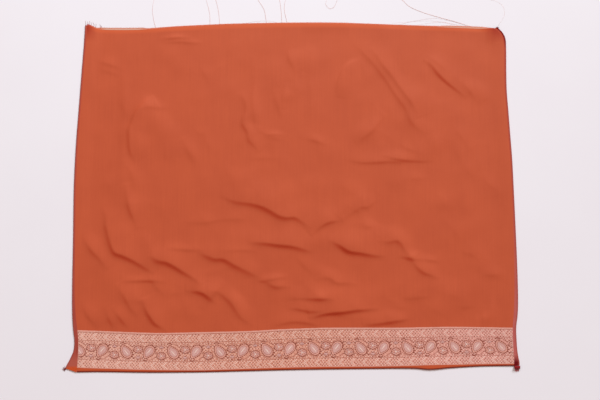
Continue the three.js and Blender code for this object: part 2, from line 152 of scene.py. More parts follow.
LAY_ROUNDS = 6


def lay(across, up, low_line, high_line):
    """The place of a point that is a share of the way across and a share of the way up."""
    x = left_side["seam"](0.0) + (right_side["seam"](0.0) - left_side["seam"](0.0)) * across
    for _ in range(LAY_ROUNDS):
        y = low_line(x) + (high_line(x) - low_line(x)) * up
        low_x, high_x = left_side["seam"](y), right_side["seam"](y)
        x = low_x + (high_x - low_x) * across
    return x, y


print("cloth across the middle:", round(float(right_side["seam"](0.0) - left_side["seam"](0.0))), "mm")

# %% [markdown]
# ## Folds and swells
# Silk that was folded on a shelf keeps soft ridges when it is laid out. Each crease is a ridge along
# a route, steep on the right of the way along it and soft on the left. Most routes run down to the
# right, so the light from the upper right shows each one as a dark line beside a paler slope. The
# big ones are also in the solids, in simpler form, and the fine ones are only here.

# %% Table of creases
CREASES = [
    # height, steep side, soft side, and the route, all in millimetres
    (4.0, 6.6, 24, [[-501, -8], [-495, -40], [-493, -70], [-482, -103], [-464, -133], [-444, -142],
                    [-421, -152], [-392, -173], [-366, -191]]),
    (3.8, 6.2, 24, [[-376, -147], [-355, -158], [-336, -160], [-312, -168], [-282, -188], [-242, -216]]),
    (3.2, 5.0, 14, [[-270, -232], [-252, -234], [-238, -239], [-220, -254]]),
    (1.6, 4.0, 8, [[-226, -255], [-217, -241], [-206, -228]]),
    (2.2, 6.0, 17, [[-218, -231], [-205, -235], [-190, -247], [-173, -263], [-158, -283], [-143, -300],
                    [-128, -310]]),
    (3.2, 6.4, 22, [[-258, -135], [-235, -144], [-213, -151], [-192, -152], [-164, -168], [-131, -184],
                    [-95, -200]]),
    (3.6, 6.4, 24, [[-208, 14], [-165, -3], [-121, -14], [-85, -26], [-52, -40], [-30, -46], [-14, -47],
                    [2, -57], [26, -73]]),
    (3.6, 5.6, 22, [[-128, -109], [-85, -110], [-45, -117], [-12, -124], [34, -134]]),
    (2.8, 5.6, 15, [[35, -83], [55, -66], [75, -57], [97, -55]]),
    (1.9, 6.0, 16, [[110, -51], [130, -34], [152, -21], [172, -19], [190, -6], [204, 8]]),
    (3.3, 5.0, 20, [[82, -107], [103, -118], [125, -130], [160, -136], [216, -144]]),
    (2.4, 6.4, 18, [[204, -105], [225, -108], [240, -106], [254, -117], [264, -132], [284, -151]]),
    (2.2, 5.4, 17, [[280, -149], [300, -172], [316, -186], [342, -198]]),
    (1.8, 3.4, 8, [[264, -147], [290, -150]]),
    (3.6, 4.4, 18, [[28, -295], [55, -288], [90, -283], [140, -278], [198, -276]]),
    (2.6, 4.0, 13, [[158, -317], [200, -311], [240, -304], [272, -299]]),
    (1.7, 4.2, 13, [[-74, -319], [-40, -311], [-10, -307], [20, -310], [54, -319]]),
    (1.8, 3.8, 11, [[-24, -276], [0, -277], [20, -279], [50, -279]]),
    (1.3, 4.4, 14, [[-30, -251], [10, -249], [38, -250], [84, -252]]),
    (1.6, 3.6, 8, [[32, -250], [66, -252]]),
    (1.8, 6.0, 15, [[46, -199], [68, -198], [82, -206], [95, -213], [115, -213], [142, -212]]),
    (1.0, 6.0, 14, [[-16, -146], [4, -162], [34, -187]]),
    (1.6, 3.2, 7, [[-450, -203], [-400, -205], [-372, -206], [-353, -207]]),
    (1.3, 6.0, 16, [[-374, -205], [-360, -222], [-341, -240]]),
    (0.6, 6.0, 12, [[-338, -238], [-290, -236]]),
    (2.0, 6.0, 17, [[-460, -218], [-445, -240], [-434, -258], [-421, -276], [-396, -296]]),
    (3.2, 5.4, 17, [[-391, -260], [-380, -280], [-369, -297], [-360, -310], [-336, -327]]),
    (2.2, 6.6, 18, [[-550, -92], [-538, -112], [-525, -130], [-506, -150], [-488, -174]]),
    (2.2, 6.0, 15, [[-548, -258], [-533, -290], [-512, -314]]),
    (1.6, 4.6, 12, [[-462, -277], [-446, -300], [-430, -320]]),
    (1.2, 4.0, 10, [[-480, -282], [-474, -300], [-468, -316]]),
    (2.4, 6.4, 15, [[-446, 36], [-438, 5], [-431, -22], [-424, -44], [-416, -68]]),
    (0.9, 6.0, 13, [[-448, 91], [-436, 76], [-429, 60], [-423, 38], [-419, 20]]),
    (0.9, 3.0, 6, [[-326, -127], [-293, -128], [-252, -129]]),
    (0.5, 3.0, 6, [[-200, -128], [-150, -129], [-112, -130]]),
    (1.1, 6.0, 15, [[-296, -57], [-240, -58], [-205, -54], [-136, -51]]),
    (1.1, 3.2, 6, [[-104, -207], [-82, -204], [-27, -194]]),
    (1.9, 4.6, 11, [[-78, -212], [-60, -219], [-34, -220]]),
    (1.0, 5.6, 13, [[260, -250], [290, -248], [318, -245]]),
    (0.8, 6.0, 13, [[396, -270], [428, -270]]),
    (0.8, 6.0, 13, [[233, -271], [264, -275]]),
    (1.0, 6.0, 12, [[462, -192], [502, -190]]),
    (0.8, 6.0, 14, [[412, -134], [430, -141], [447, -160]]),
    (0.8, 3.0, 7, [[310, -151], [354, -157]]),
    (1.8, 4.6, 10, [[479, -238], [473, -270], [466, -295], [461, -312]]),
    (1.5, 3.6, 8, [[457, -282], [454, -312]]),
    (0.8, 4.0, 8, [[437, -287], [434, -308]]),
    (0.6, 6.0, 12, [[148, -70], [192, -68]]),
    (0.6, 6.0, 12, [[290, -84], [308, -102]]),
    (3.4, 5.4, 18, [[-380, 268], [-398, 255], [-412, 239], [-423, 220], [-431, 199], [-438, 181],
                    [-439, 158], [-438, 136], [-433, 117], [-421, 98]]),
    (0.8, 4.6, 9, [[-410, 233], [-388, 239], [-365, 240], [-336, 241]]),
    (2.1, 5.6, 12, [[-153, 275], [-141, 254], [-139, 232], [-146, 207], [-147, 192], [-138, 172],
                    [-134, 156], [-120, 141], [-108, 127]]),
    (1.1, 5.0, 10, [[-122, 326], [-123, 280], [-119, 230], [-117, 188]]),
    (1.4, 5.0, 10, [[-42, 290], [-45, 252]]),
    (1.1, 5.0, 10, [[-66, 277], [-55, 240], [-48, 206]]),
    (1.3, 5.0, 13, [[-34, 394], [-28, 366], [-16, 344]]),
    (0.6, 3.4, 5, [[-94, 172], [-80, 167], [-31, 163]]),
    (0.6, 4.0, 9, [[-76, 159], [-53, 153]]),
    (0.6, 5.0, 10, [[-140, 107], [-54, 105]]),
    (1.0, 5.4, 11, [[-295, 142], [-287, 122], [-278, 104]]),
    (0.7, 6.0, 13, [[-274, 188], [-256, 170], [-228, 184]]),
    (1.0, 5.0, 10, [[-515, 358], [-488, 349], [-464, 341]]),
    (0.8, 5.0, 10, [[-510, 335], [-468, 323]]),
    (0.9, 5.0, 9, [[-421, 384], [-420, 354]]),
    (1.4, 3.2, 4, [[-352, 421], [-325, 421], [-286, 422]]),
    (0.9, 3.2, 4, [[-350, 411], [-320, 411], [-292, 411], [-240, 410]]),
    (0.7, 5.0, 10, [[-257, 338], [-241, 316]]),
    (0.6, 5.0, 10, [[-200, 358], [-218, 343]]),
    (1.8, 6.4, 12, [[131, 414], [162, 384], [190, 353], [221, 308], [253, 259], [268, 233], [280, 206],
                    [296, 188], [320, 169]]),
    (1.8, 6.0, 15, [[181, 398], [199, 373], [214, 348], [246, 310], [275, 263], [290, 236], [299, 214]]),
    (2.2, 5.6, 14, [[147, 365], [130, 358], [114, 342], [103, 322], [96, 300], [91, 272]]),
    (0.8, 7.0, 14, [[26, 350], [23, 310], [26, 280], [21, 244]]),
    (2.0, 6.0, 14, [[150, 146], [172, 165], [187, 180], [200, 199], [214, 216]]),
    (2.8, 4.8, 18, [[318, 368], [339, 351], [352, 334], [367, 316], [385, 299], [404, 284], [426, 266]]),
    (0.8, 5.4, 12, [[331, 374], [352, 358], [372, 338]]),
    (0.9, 5.4, 12, [[418, 303], [438, 280], [450, 264]]),
    (1.6, 4.6, 12, [[108, 101], [164, 97], [200, 96], [228, 98], [264, 94]]),
    (1.7, 4.6, 12, [[222, 112], [245, 106], [270, 101], [296, 99], [354, 97]]),
    (0.9, 6.0, 13, [[213, 168], [238, 147]]),
    (0.8, 6.0, 13, [[252, 145], [280, 131], [304, 121]]),
    (1.0, 4.6, 9, [[18, 156], [38, 153], [58, 146]]),
    (0.6, 5.0, 12, [[270, 50], [302, 53], [340, 57]]),
    (0.8, 6.6, 15, [[395, 188], [412, 162], [425, 142]]),
]
SWELLS = table(["x", "y", "height", "reachX", "reachY"], [
    [-452, 200, 1.5, 15, 150], [-556, 462, 4.0, 26, 20], [-300, 452, 1.4, 70, 26],
    [60, 462, 1.8, 120, 24], [400, 452, 1.4, 60, 22],
    [500, 442, 3.2, 44, 40], [-360, 180, 1.6, 60, 70], [-40, 330, 1.4, 110, 60], [330, 210, 1.8, 90, 70],
    [430, 10, 1.4, 60, 110], [-60, 30, 1.6, 130, 50], [-480, -210, 2.0, 46, 80], [-170, -110, 1.6, 90, 40],
    [130, -110, 1.8, 90, 40], [100, -240, 1.8, 110, 30], [380, -230, 1.6, 80, 50], [-300, -270, 1.6, 70, 36],
    [120, -366, 1.0, 60, 26], [-200, -372, 1.0, 80, 26], [420, -362, 1.2, 50, 26],
])
EDGE_REACH = 46
HEM_REACH = 38
EDGE_SHARE = 0.78
HEM_SHARE = 0.58
FLAT_BELOW = 0.25
SOFT_CORNER = 0.3
GAIN = 1.2
CREST_AT = 0.45
NEARBY = 7.0
DROP = 1.3
DROP_REACH = 1.25
SOFTER = 1.9
TAPER = 0.7
ROUTE_END = 0.02
FAINT_SEED = 3
FAINT = {
    "count": 130, "from": (-540, -310), "to": (510, 440), "length": (30, 110), "bend": (-6, 6),
    "height": (0.15, 0.5), "steep": (5, 9), "soft": (8, 18),
}
RIPPLE_SEED = 7
RIPPLE_HEIGHT = 0.22
WANDER_SEEDS = (21, 22)
WANDER = 0.8


def smooth_route(points, steps=6):
    """Points along a smooth curve through the given ones."""
    points = np.asarray(points, float)
    padded = np.concatenate([2 * points[:1] - points[1:2], points, 2 * points[-1:] - points[-2:-1]])
    route = []
    for k in range(1, len(padded) - 2):
        before, start, end, after = padded[k - 1 : k + 3]
        for t in np.arange(steps) / steps:
            route.append(0.5 * (
                2 * start + (end - before) * t + (2 * before - 5 * start + 4 * end - after) * t**2
                + (3 * start - before - 3 * end + after) * t**3
            ))
    return np.array([*route, padded[-2]])


def crease_height(crease, x, y):
    """The ridge that one crease adds to the cloth; it fades out towards both ends of its route."""
    height, steep, soft, points = crease
    total = np.zeros(np.shape(x))
    reach = soft * SOFTER * 2
    low, high = np.min(points, axis=0) - reach, np.max(points, axis=0) + reach
    near = (x > low[0]) & (x < high[0]) & (y > low[1]) & (y < high[1])
    if not near.any():
        return total
    route = smooth_route(points)
    way = np.gradient(route, axis=0)
    way /= np.linalg.norm(way, axis=1, keepdims=True)
    away_x, away_y = x[near][:, None] - route[:, 0], y[near][:, None] - route[:, 1]
    apart = away_x**2 + away_y**2
    weight = np.exp(-(apart - apart.min(axis=1, keepdims=True)) / (2 * NEARBY**2))
    weight /= weight.sum(axis=1, keepdims=True)
    along = (weight * np.linspace(0, 1, len(route))).sum(axis=1)
    from_crest = (weight * (away_y * way[:, 0] - away_x * way[:, 1])).sum(axis=1) - CREST_AT * steep
    beyond = (weight * (away_x * way[:, 0] + away_y * way[:, 1])).sum(axis=1)
    dark_side = np.exp(-((np.clip(-from_crest, 0, None) / (steep * DROP_REACH)) ** DROP))
    pale_side = np.exp(-((np.clip(from_crest, 0, None) / (soft * SOFTER)) ** 2))
    at_end = (along < ROUTE_END) | (along > 1 - ROUTE_END)
    past_end = np.where(at_end, np.exp(-((beyond / steep) ** 2)), 1.0)
    total[near] = GAIN * height * np.sin(math.pi * along) ** TAPER * dark_side * pale_side * past_end
    return total


def faint_creases():
    """Many short, faint creases, lying as the cloth drags them: down to the right."""
    draw = np.random.default_rng(FAINT_SEED)
    creases = []
    for _ in range(FAINT["count"]):
        start = draw.uniform(FAINT["from"], FAINT["to"])
        turn = math.radians(draw.normal(*((-38, 22) if start[1] < 60 else (-84, 14))))
        length = draw.uniform(*FAINT["length"])
        way = np.array([math.cos(turn), math.sin(turn)])
        middle = start + way * length / 2 + (-way[1], way[0]) * draw.uniform(*FAINT["bend"], 1)
        height, steep, soft = [draw.uniform(*FAINT[name]) for name in ("height", "steep", "soft")]
        creases.append((height, steep, soft, [start, middle, start + way * length]))
    return creases


def waves(x, y, seed, count, shortest, longest):
    """A sum of plane waves in all directions, the long ones higher than the short ones."""
    draw = np.random.default_rng(seed)
    total = np.zeros_like(x)
    for _ in range(count):
        wavelength = draw.uniform(shortest, longest)
        turn, start = draw.uniform(0, math.tau, 2)
        phase = (x * math.cos(turn) + y * math.sin(turn)) * math.tau / wavelength + start
        total += np.sin(phase) * wavelength / longest
    return total


def ripples(x, y):
    """The faint, uneven waviness of silk that lies on a table."""
    return waves(x, y, RIPPLE_SEED, count=26, shortest=45, longest=190) * RIPPLE_HEIGHT


def wander(x, y, seed):
    """How far a crease strays from its drawn line, in millimetres."""
    return waves(x, y, seed, count=10, shortest=50, longest=150) * WANDER


FAINT_CREASES = faint_creases()


def smooth(t):
    t = np.clip(t, 0, 1)
    return t * t * (3 - 2 * t)


def lift(x, y):
    """How high the cloth's underside stands above the table."""
    open_lift = ripples(x, y) - FLAT_BELOW
    drift = [wander(x, y, seed) for seed in WANDER_SEEDS]
    for crease in CREASES + FAINT_CREASES:
        open_lift = open_lift + crease_height(crease, x + drift[0], y + drift[1])
    for swell_x, swell_y, height, reach_x, reach_y in zip(*SWELLS.values()):
        open_lift = open_lift + height * np.exp(
            -(((x - swell_x) / reach_x) ** 2) - ((y - swell_y) / reach_y) ** 2
        )
    open_lift = open_lift / 2 + np.sqrt((open_lift / 2) ** 2 + SOFT_CORNER**2)
    near = [
        1 - smooth((x - left_side["seam"](y)) / EDGE_REACH),
        1 - smooth((right_side["seam"](y) - x) / EDGE_REACH),
        1 - smooth((y - hem_foot(x)) / HEM_REACH),
    ]
    rise = [EDGE_SHARE * left_side["rise"](y), EDGE_SHARE * right_side["rise"](y), HEM_SHARE * hem_rise(x)]
    nearness = sum(near)
    edge_lift = sum(n * r for n, r in zip(near, rise)) / np.maximum(nearness, 1)
    return edge_lift + open_lift * np.maximum(1 - nearness, 0)


print(len(CREASES), "creases and", len(SWELLS["height"]), "swells")

# %% [markdown]
# ## Making thin sheets
# A sheet of cloth is a grid of points, closed into a thin shell by a second grid below it. The
# upper grid is fine enough for the creases. The lower one faces the table, so it may be coarser,
# and where it is, each of its cells stays under the lowest point of the cloth above it.

# %% Meshes from grids
def grid_faces(rows, cols, first=0, upward=True):
    corner = first + np.arange(rows - 1)[:, None] * cols + np.arange(cols - 1)
    faces = np.stack([corner, corner + 1, corner + cols + 1, corner + cols], axis=-1).reshape(-1, 4)
    return (faces if upward else faces[:, ::-1]).tolist()


def rim_walk(rows, cols, first=0):
    """A grid's rim, once round anticlockwise."""
    index = first + np.arange(rows * cols).reshape(rows, cols)
    sides = [index[0, :-1], index[:-1, -1], index[-1, :0:-1], index[:0:-1, 0]]
    return np.concatenate(sides).tolist()


def make_piece(name, points, faces, material=None, sharp_above=50, place=to_model):
    """A named piece from places on the cloth, smooth but for its sharp rims."""
    mesh = bpy.data.meshes.new(name)
    mesh.from_pydata(place(points).tolist(), [], faces)
    mesh.shade_smooth()
    mesh.set_sharp_from_angle(angle=math.radians(sharp_above))
    piece = bpy.data.objects.new(name, mesh)
    if material:
        mesh.materials.append(material)
    scene.collection.objects.link(piece)
    return piece


def closed_sheet(name, top, under, material=None):
    """A closed shell between an upper grid of points and a lower one, which may be coarser."""
    rows, cols = top.shape[:2]
    low_rows, low_cols = under.shape[:2]
    share = (rows - 1) // (low_rows - 1)
    below = rows * cols
    faces = grid_faces(rows, cols) + grid_faces(low_rows, low_cols, below, upward=False)
    high_rim, low_rim = rim_walk(rows, cols), rim_walk(low_rows, low_cols, below)
    for k, start in enumerate(low_rim):
        end = low_rim[(k + 1) % len(low_rim)]
        above = [high_rim[(k * share + step) % len(high_rim)] for step in range(share, -1, -1)]
        faces.append([start, end, *above])
    points = np.concatenate([top.reshape(-1, 3), under.reshape(-1, 3)])
    return make_piece(name, points, faces, material)


def chart(piece, rows, cols):
    """A UV map over the upper grid of a sheet, from 0 to 1 each way; its other faces lie outside."""
    up, across = np.meshgrid(np.linspace(0, 1, rows), np.linspace(0, 1, cols), indexing="ij")
    places = np.full((len(piece.data.vertices), 2), -1.0)
    places[: rows * cols] = np.stack([across.ravel(), up.ravel()], axis=-1)
    corners = np.zeros(len(piece.data.loops), int)
    piece.data.loops.foreach_get("vertex_index", corners)
    uv = places[corners]
    uv[(rows - 1) * (cols - 1) * 4 :] = -1.0
    piece.data.uv_layers.new(name="chart").data.foreach_set("uv", uv.ravel())


print("a grid of 3 by 4 points:", len(grid_faces(3, 4)), "faces, rim of", len(rim_walk(3, 4)))

# %% [markdown]
# ## Building node trees
# Every finish and every repeat below is a node tree. One helper adds a node, sets what is a plain
# value and links what is another node's socket, so a tree reads from top to bottom.

# %% Node helpers
def add_node(tree, kind, inputs=None, **settings):
    """A node with its settings first, then each input set to a value or linked to a socket."""
    node = tree.nodes.new(kind)
    for name, value in settings.items():
        setattr(node, name, value)
    for name, value in (inputs or {}).items():
        socket = node.inputs[name]
        if isinstance(value, bpy.types.NodeSocket):
            tree.links.new(value, socket)
        else:
            socket.default_value = value
    return node


def calculate(tree, operation, first, second=0.0):
    return add_node(tree, "ShaderNodeMath", {0: first, 1: second}, operation=operation).outputs[0]


def blend(tree, share, first, second):
    """A colour between two, by a share; each is a colour or another node's colour socket."""
    return add_node(tree, "ShaderNodeMix", {0: share, 6: first, 7: second}, data_type="RGBA").outputs[2]


def ramp(tree, value, low, high, top=1.0):
    """A share that goes from 0 to top while a value goes from low to high."""
    inputs = {"Value": value, "From Min": low, "From Max": high, "To Max": top}
    return add_node(tree, "ShaderNodeMapRange", inputs).outputs["Result"]


def noise(tree, place, scale, detail, roughness=0.5):
    """Cloudy values; a scale of three numbers stretches the clouds."""
    if isinstance(scale, tuple):
        place = add_node(tree, "ShaderNodeMapping", {"Vector": place, "Scale": scale}).outputs["Vector"]
        scale = 1.0
    inputs = {"Vector": place, "Scale": scale, "Detail": detail, "Roughness": roughness}
    return add_node(tree, "ShaderNodeTexNoise", inputs).outputs["Fac"]


def split(tree, vector):
    return add_node(tree, "ShaderNodeSeparateXYZ", {"Vector": vector}).outputs


def colour(red, green, blue):
    """A colour given as screen values from 0 to 255, as the linear colour that a shader reads."""
    shares = [value / 255 for value in (red, green, blue)]
    return (*[s / 12.92 if s <= 0.04045 else ((s + 0.055) / 1.055) ** 2.4 for s in shares], 1.0)


def new_finish(name, levels):
    """A material whose shader has these plain values."""
    material = bpy.data.materials.new(name)
    material.use_nodes = True
    tree = material.node_tree
    tree.nodes.clear()
    shader = add_node(tree, "ShaderNodeBsdfPrincipled", levels)
    add_node(tree, "ShaderNodeOutputMaterial", {"Surface": shader.outputs["BSDF"]})
    return material, tree, shader


def paint(tree, shader, tint):
    tree.links.new(tint, shader.inputs["Base Color"])


def stripes(tree, along, pitch):
    """Rounded threads side by side: a value from 0 to 1 that repeats every pitch metres."""
    wave = calculate(tree, "SINE", calculate(tree, "MULTIPLY", along, math.tau / pitch))
    return calculate(tree, "MULTIPLY_ADD", wave, 0.5)


print("middle grey of a screen in linear light:", round(colour(128, 128, 128)[0], 3))

# %% [markdown]
# ## The satin
# Satin floats its warp over the weft, so the face is smooth, with a soft sheen and hardly any
# grain. The finish is a rust red with a faint cloudiness where the dye took unevenly, faint
# streaks along the warp, and a bump of threads 0.4 mm apart, a lighter rust in the last rows below
# the raw end. Slopes that face down and to the left, away from the light, get a painted shade of
# deeper red, and the two upper corners get a darker painted shade where the cloth curls.

# %% Satin finish
RUST = colour(199, 86, 53)
DEEP_RUST = colour(192, 81, 50)
# A lighter rust for the last rows below the raw end
TOP_ROWS_RUST = colour(210, 91, 53)
# Painted shade on fold slopes that face away from the light
FOLD_SHADE_RUST = colour(201, 65, 35)
# Painted shade at the two upper corners, where the cloth curls under
CORNER_SHADE_RUST = colour(164, 38, 20)
GLOSS = colour(255, 205, 175)
# The way the painted fold shade faces: down and to the left, away from the light
AWAY_FROM_LIGHT = (-0.45, -0.89, 0)


def thread_bump(tree, shader, height, across, along, strength):
    """Bump of a weave whose threads repeat every so many metres across and along the cloth.

    Gives back the object coordinates and their parts.
    """
    place = add_node(tree, "ShaderNodeTexCoord").outputs["Object"]
    axes = split(tree, place)
    weave = calculate(tree, "MAXIMUM", stripes(tree, axes["X"], across), stripes(tree, axes["Y"], along))
    bump = add_node(tree, "ShaderNodeBump", {"Height": weave, "Distance": height, "Strength": strength})
    tree.links.new(bump.outputs["Normal"], shader.inputs["Normal"])
    return place, axes


def paint_corner_shade(tree, axes, tint):
    """A painted shade that darkens the colour towards the two upper corners, where the cloth curls."""
    out = ramp(tree, calculate(tree, "ABSOLUTE", axes["X"]), 0.504, 0.53)
    up = ramp(tree, axes["Y"], 0.352, 0.388)
    return blend(tree, calculate(tree, "MULTIPLY", out, up), tint, CORNER_SHADE_RUST)


def paint_fold_shade(tree, tint):
    """A painted shade: a deeper red on slopes that face down and to the left, away from the light."""
    facing = add_node(tree, "ShaderNodeTexCoord").outputs["Normal"]
    # painted shade: how far the cloth's normal faces away from the light at the upper right
    lean = add_node(tree, "ShaderNodeVectorMath", {0: facing, 1: AWAY_FROM_LIGHT}, operation="DOT_PRODUCT")
    return blend(tree, ramp(tree, lean.outputs["Value"], 0.08, 0.36), tint, FOLD_SHADE_RUST)


def satin_finish():
    levels = {"Roughness": 0.6, "Specular IOR Level": 0.45, "Specular Tint": GLOSS}
    material, tree, shader = new_finish("rust_satin", levels)
    place, axes = thread_bump(tree, shader, height=0.00006, across=0.0004, along=0.0005, strength=0.35)
    clouds = calculate(tree, "MULTIPLY", noise(tree, place, 9.0, 5.0, 0.6), 0.6)
    streaks = calculate(tree, "MULTIPLY", noise(tree, place, (420.0, 9.0, 1.0), 3.0), 0.4)
    uneven = ramp(tree, calculate(tree, "ADD", clouds, streaks), 0.36, 0.64)
    up = split(tree, add_node(tree, "ShaderNodeUVMap", uv_map="chart").outputs["UV"])["Y"]
    # lighter rust in the last rows below the raw end
    tint = blend(tree, ramp(tree, up, 0.985, 0.994), blend(tree, uneven, DEEP_RUST, RUST), TOP_ROWS_RUST)
    paint(tree, shader, paint_fold_shade(tree, paint_corner_shade(tree, axes, tint)))
    return material


satin = satin_finish()
print("nodes in the satin:", len(satin.node_tree.nodes))

# %% [markdown]
# ## The field
# The field is the largest sheet, so it gets the finest grid that the budget of triangles allows,
# about 3 mm a cell, and a coarser underside.

# %% The satin field
CLOTH = 0.35
TABLE_GAP = 0.05
FIELD_CELLS = {"across": 336, "up": 264}
UNDERSIDE_SHARE = 4


def laid_grid(cells_across, cells_up, low_line, high_line):
    """A grid of places on the cloth's underside."""
    up, across = np.meshgrid(
        np.linspace(0, 1, cells_up + 1), np.linspace(0, 1, cells_across + 1), indexing="ij"
    )
    x, y = lay(across, up, low_line, high_line)
    return np.stack([x, y, lift(x, y) + TABLE_GAP], axis=-1)


def coarse_underside(grid, share):
    """Every few points of a grid, each as low as the lowest point of the cells round it."""
    height = grid[..., 2]
    padded = np.pad(height, share, mode="edge")
    lowest = height.copy()
    for step_j in range(2 * share + 1):
        for step_i in range(2 * share + 1):
            shifted = padded[step_j : step_j + height.shape[0], step_i : step_i + height.shape[1]]
            lowest = np.minimum(lowest, shifted)
    under = grid[::share, ::share].copy()
    under[..., 2] = lowest[::share, ::share]
    return under


def raised(grid, amount):
    return grid + (0, 0, amount)


def dress(piece, node=None):
    """A finished piece rides on the one body and, where a solid's node is given, stands for that solid, which
    is hidden.
    """
    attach(piece, "root")
    if node:
        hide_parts(node)
    print(piece.name, len(piece.data.polygons), "faces")


field_grid = laid_grid(FIELD_CELLS["across"], FIELD_CELLS["up"], border_head, raw_end)
field = closed_sheet(
    "satin_field", raised(field_grid, CLOTH), coarse_underside(field_grid, UNDERSIDE_SHARE), satin
)
chart(field, FIELD_CELLS["up"] + 1, FIELD_CELLS["across"] + 1)
dress(field, "field_panel")
print("highest fold", round(float(field_grid[..., 2].max()), 2), "mm")

# %% [markdown]
# ## The border's cloth
# The border is woven in one with the field: rust warp, with a peach and silver metal thread as
# an extra weft. Its ground is a fine mix of the two, so from a step away it reads as dusty pink.
# The finish lays short horizontal dashes of metal thread over the rust, with a painted sheen that
# makes the band paler towards the left and pinker towards the right.

# %% Brocade ground
PEACH = colour(244, 178, 154)
DUSTY = colour(200, 113, 88)
# Painted sheen: paler towards the left of the band, pinker towards the right
LEFT_PAINTED_SHEEN = colour(255, 210, 196)
RIGHT_PAINTED_SHEEN = colour(240, 176, 182)


def brocade_finish():
    levels = {"Roughness": 0.5, "Metallic": 0.1, "Sheen Weight": 0.2}
    material, tree, shader = new_finish("brocade_ground", levels)
    place, axes = thread_bump(tree, shader, height=0.00012, across=0.0011, along=0.0006, strength=0.6)
    rows = calculate(tree, "MULTIPLY", stripes(tree, axes["Y"], 0.0012), 0.35)
    dashes = noise(tree, place, (200.0, 290.0, 1.0), 2.0)
    woven = blend(tree, ramp(tree, calculate(tree, "ADD", rows, dashes), 0.5, 0.8), DUSTY, PEACH)
    # painted sheen towards each end of the band
    for tint, low, high in ((LEFT_PAINTED_SHEEN, -0.1, -0.45), (RIGHT_PAINTED_SHEEN, 0.05, 0.45)):
        woven = blend(tree, ramp(tree, axes["X"], low, high, 0.22), woven, tint)
    paint(tree, shader, woven)
    return material


brocade = brocade_finish()
BAND_CELLS = {"across": 480, "up": 40}
band_grid = laid_grid(BAND_CELLS["across"], BAND_CELLS["up"], hem_foot, border_head)
band = closed_sheet("brocade_band", raised(band_grid, CLOTH), band_grid, brocade)
chart(band, BAND_CELLS["up"] + 1, BAND_CELLS["across"] + 1)
dress(band, "brocade_border")

# %% [markdown]
# ## Charting the woven figures
# A weaver charts one repeat and the loom does the rest. The repeat here is two paisleys, one with
# its head up and one with its head down, a rosette before each, scalloped stems with sprigs, and
# above and below a guard band of light zigzag steps on a field of dots. Each figure is a thin tile
# or ribbon, in millimetres from the repeat's own start, a little prouder than the ground, as
# floats of metal thread are.

# %% Shapes for the chart
REPEAT = 116.3
BAND_HEIGHT = 95.0
MAIN_MIDDLE = 45.5
SUNK = -0.06
HEAD_AT = 0.6


def turned(outline, degrees, centre):
    turn = math.radians(degrees)
    spin = np.array([[math.cos(turn), math.sin(turn)], [-math.sin(turn), math.cos(turn)]])
    return outline @ spin + centre


def oval(width, height, points=16):
    turn = np.linspace(0, math.tau, points, endpoint=False)
    return np.stack([np.cos(turn) * width / 2, np.sin(turn) * height / 2], axis=-1)


def leaf(length, breadth, points=8):
    """A leaf along x that starts at the origin and is pointed at both ends."""
    turn = np.linspace(0, math.tau, points, endpoint=False)
    across = np.sin(turn) * np.abs(np.sin(turn)) ** 0.3
    return np.stack([(1 - np.cos(turn)) * length / 2, -across * breadth / 2], axis=-1)


def paisley(length, breadth, hook, steps=20):
    """A mango shape along x: a tail that hooks aside at the left, a round head at the right."""
    along = (1 - np.cos(np.linspace(0, math.pi, steps + 1))) / 2
    beyond = np.clip((along - HEAD_AT) / (1 - HEAD_AT), 0, 1)
    swell = np.where(along > HEAD_AT, np.sqrt(1 - beyond**2), np.sin(math.pi / 2 * along / HEAD_AT) ** 0.7)
    x = length * (along - 0.5)
    y = hook * np.clip(1 - along / HEAD_AT, 0, 1) ** 2
    slope = np.gradient(y, x)
    side = np.stack([-slope, np.ones_like(slope)], axis=-1) / np.sqrt(1 + slope**2)[:, None]
    spine = np.stack([x, y], axis=-1)
    reach = (swell * breadth / 2)[:, None]
    return np.concatenate([spine - side * reach, (spine + side * reach)[-2:0:-1]])


def shrunk(outline, share, shift=(0.0, 0.0)):
    """A smaller outline inside another, drawn in towards a point near its middle."""
    focus = outline.mean(axis=0) + shift
    return focus + (outline - focus) * share


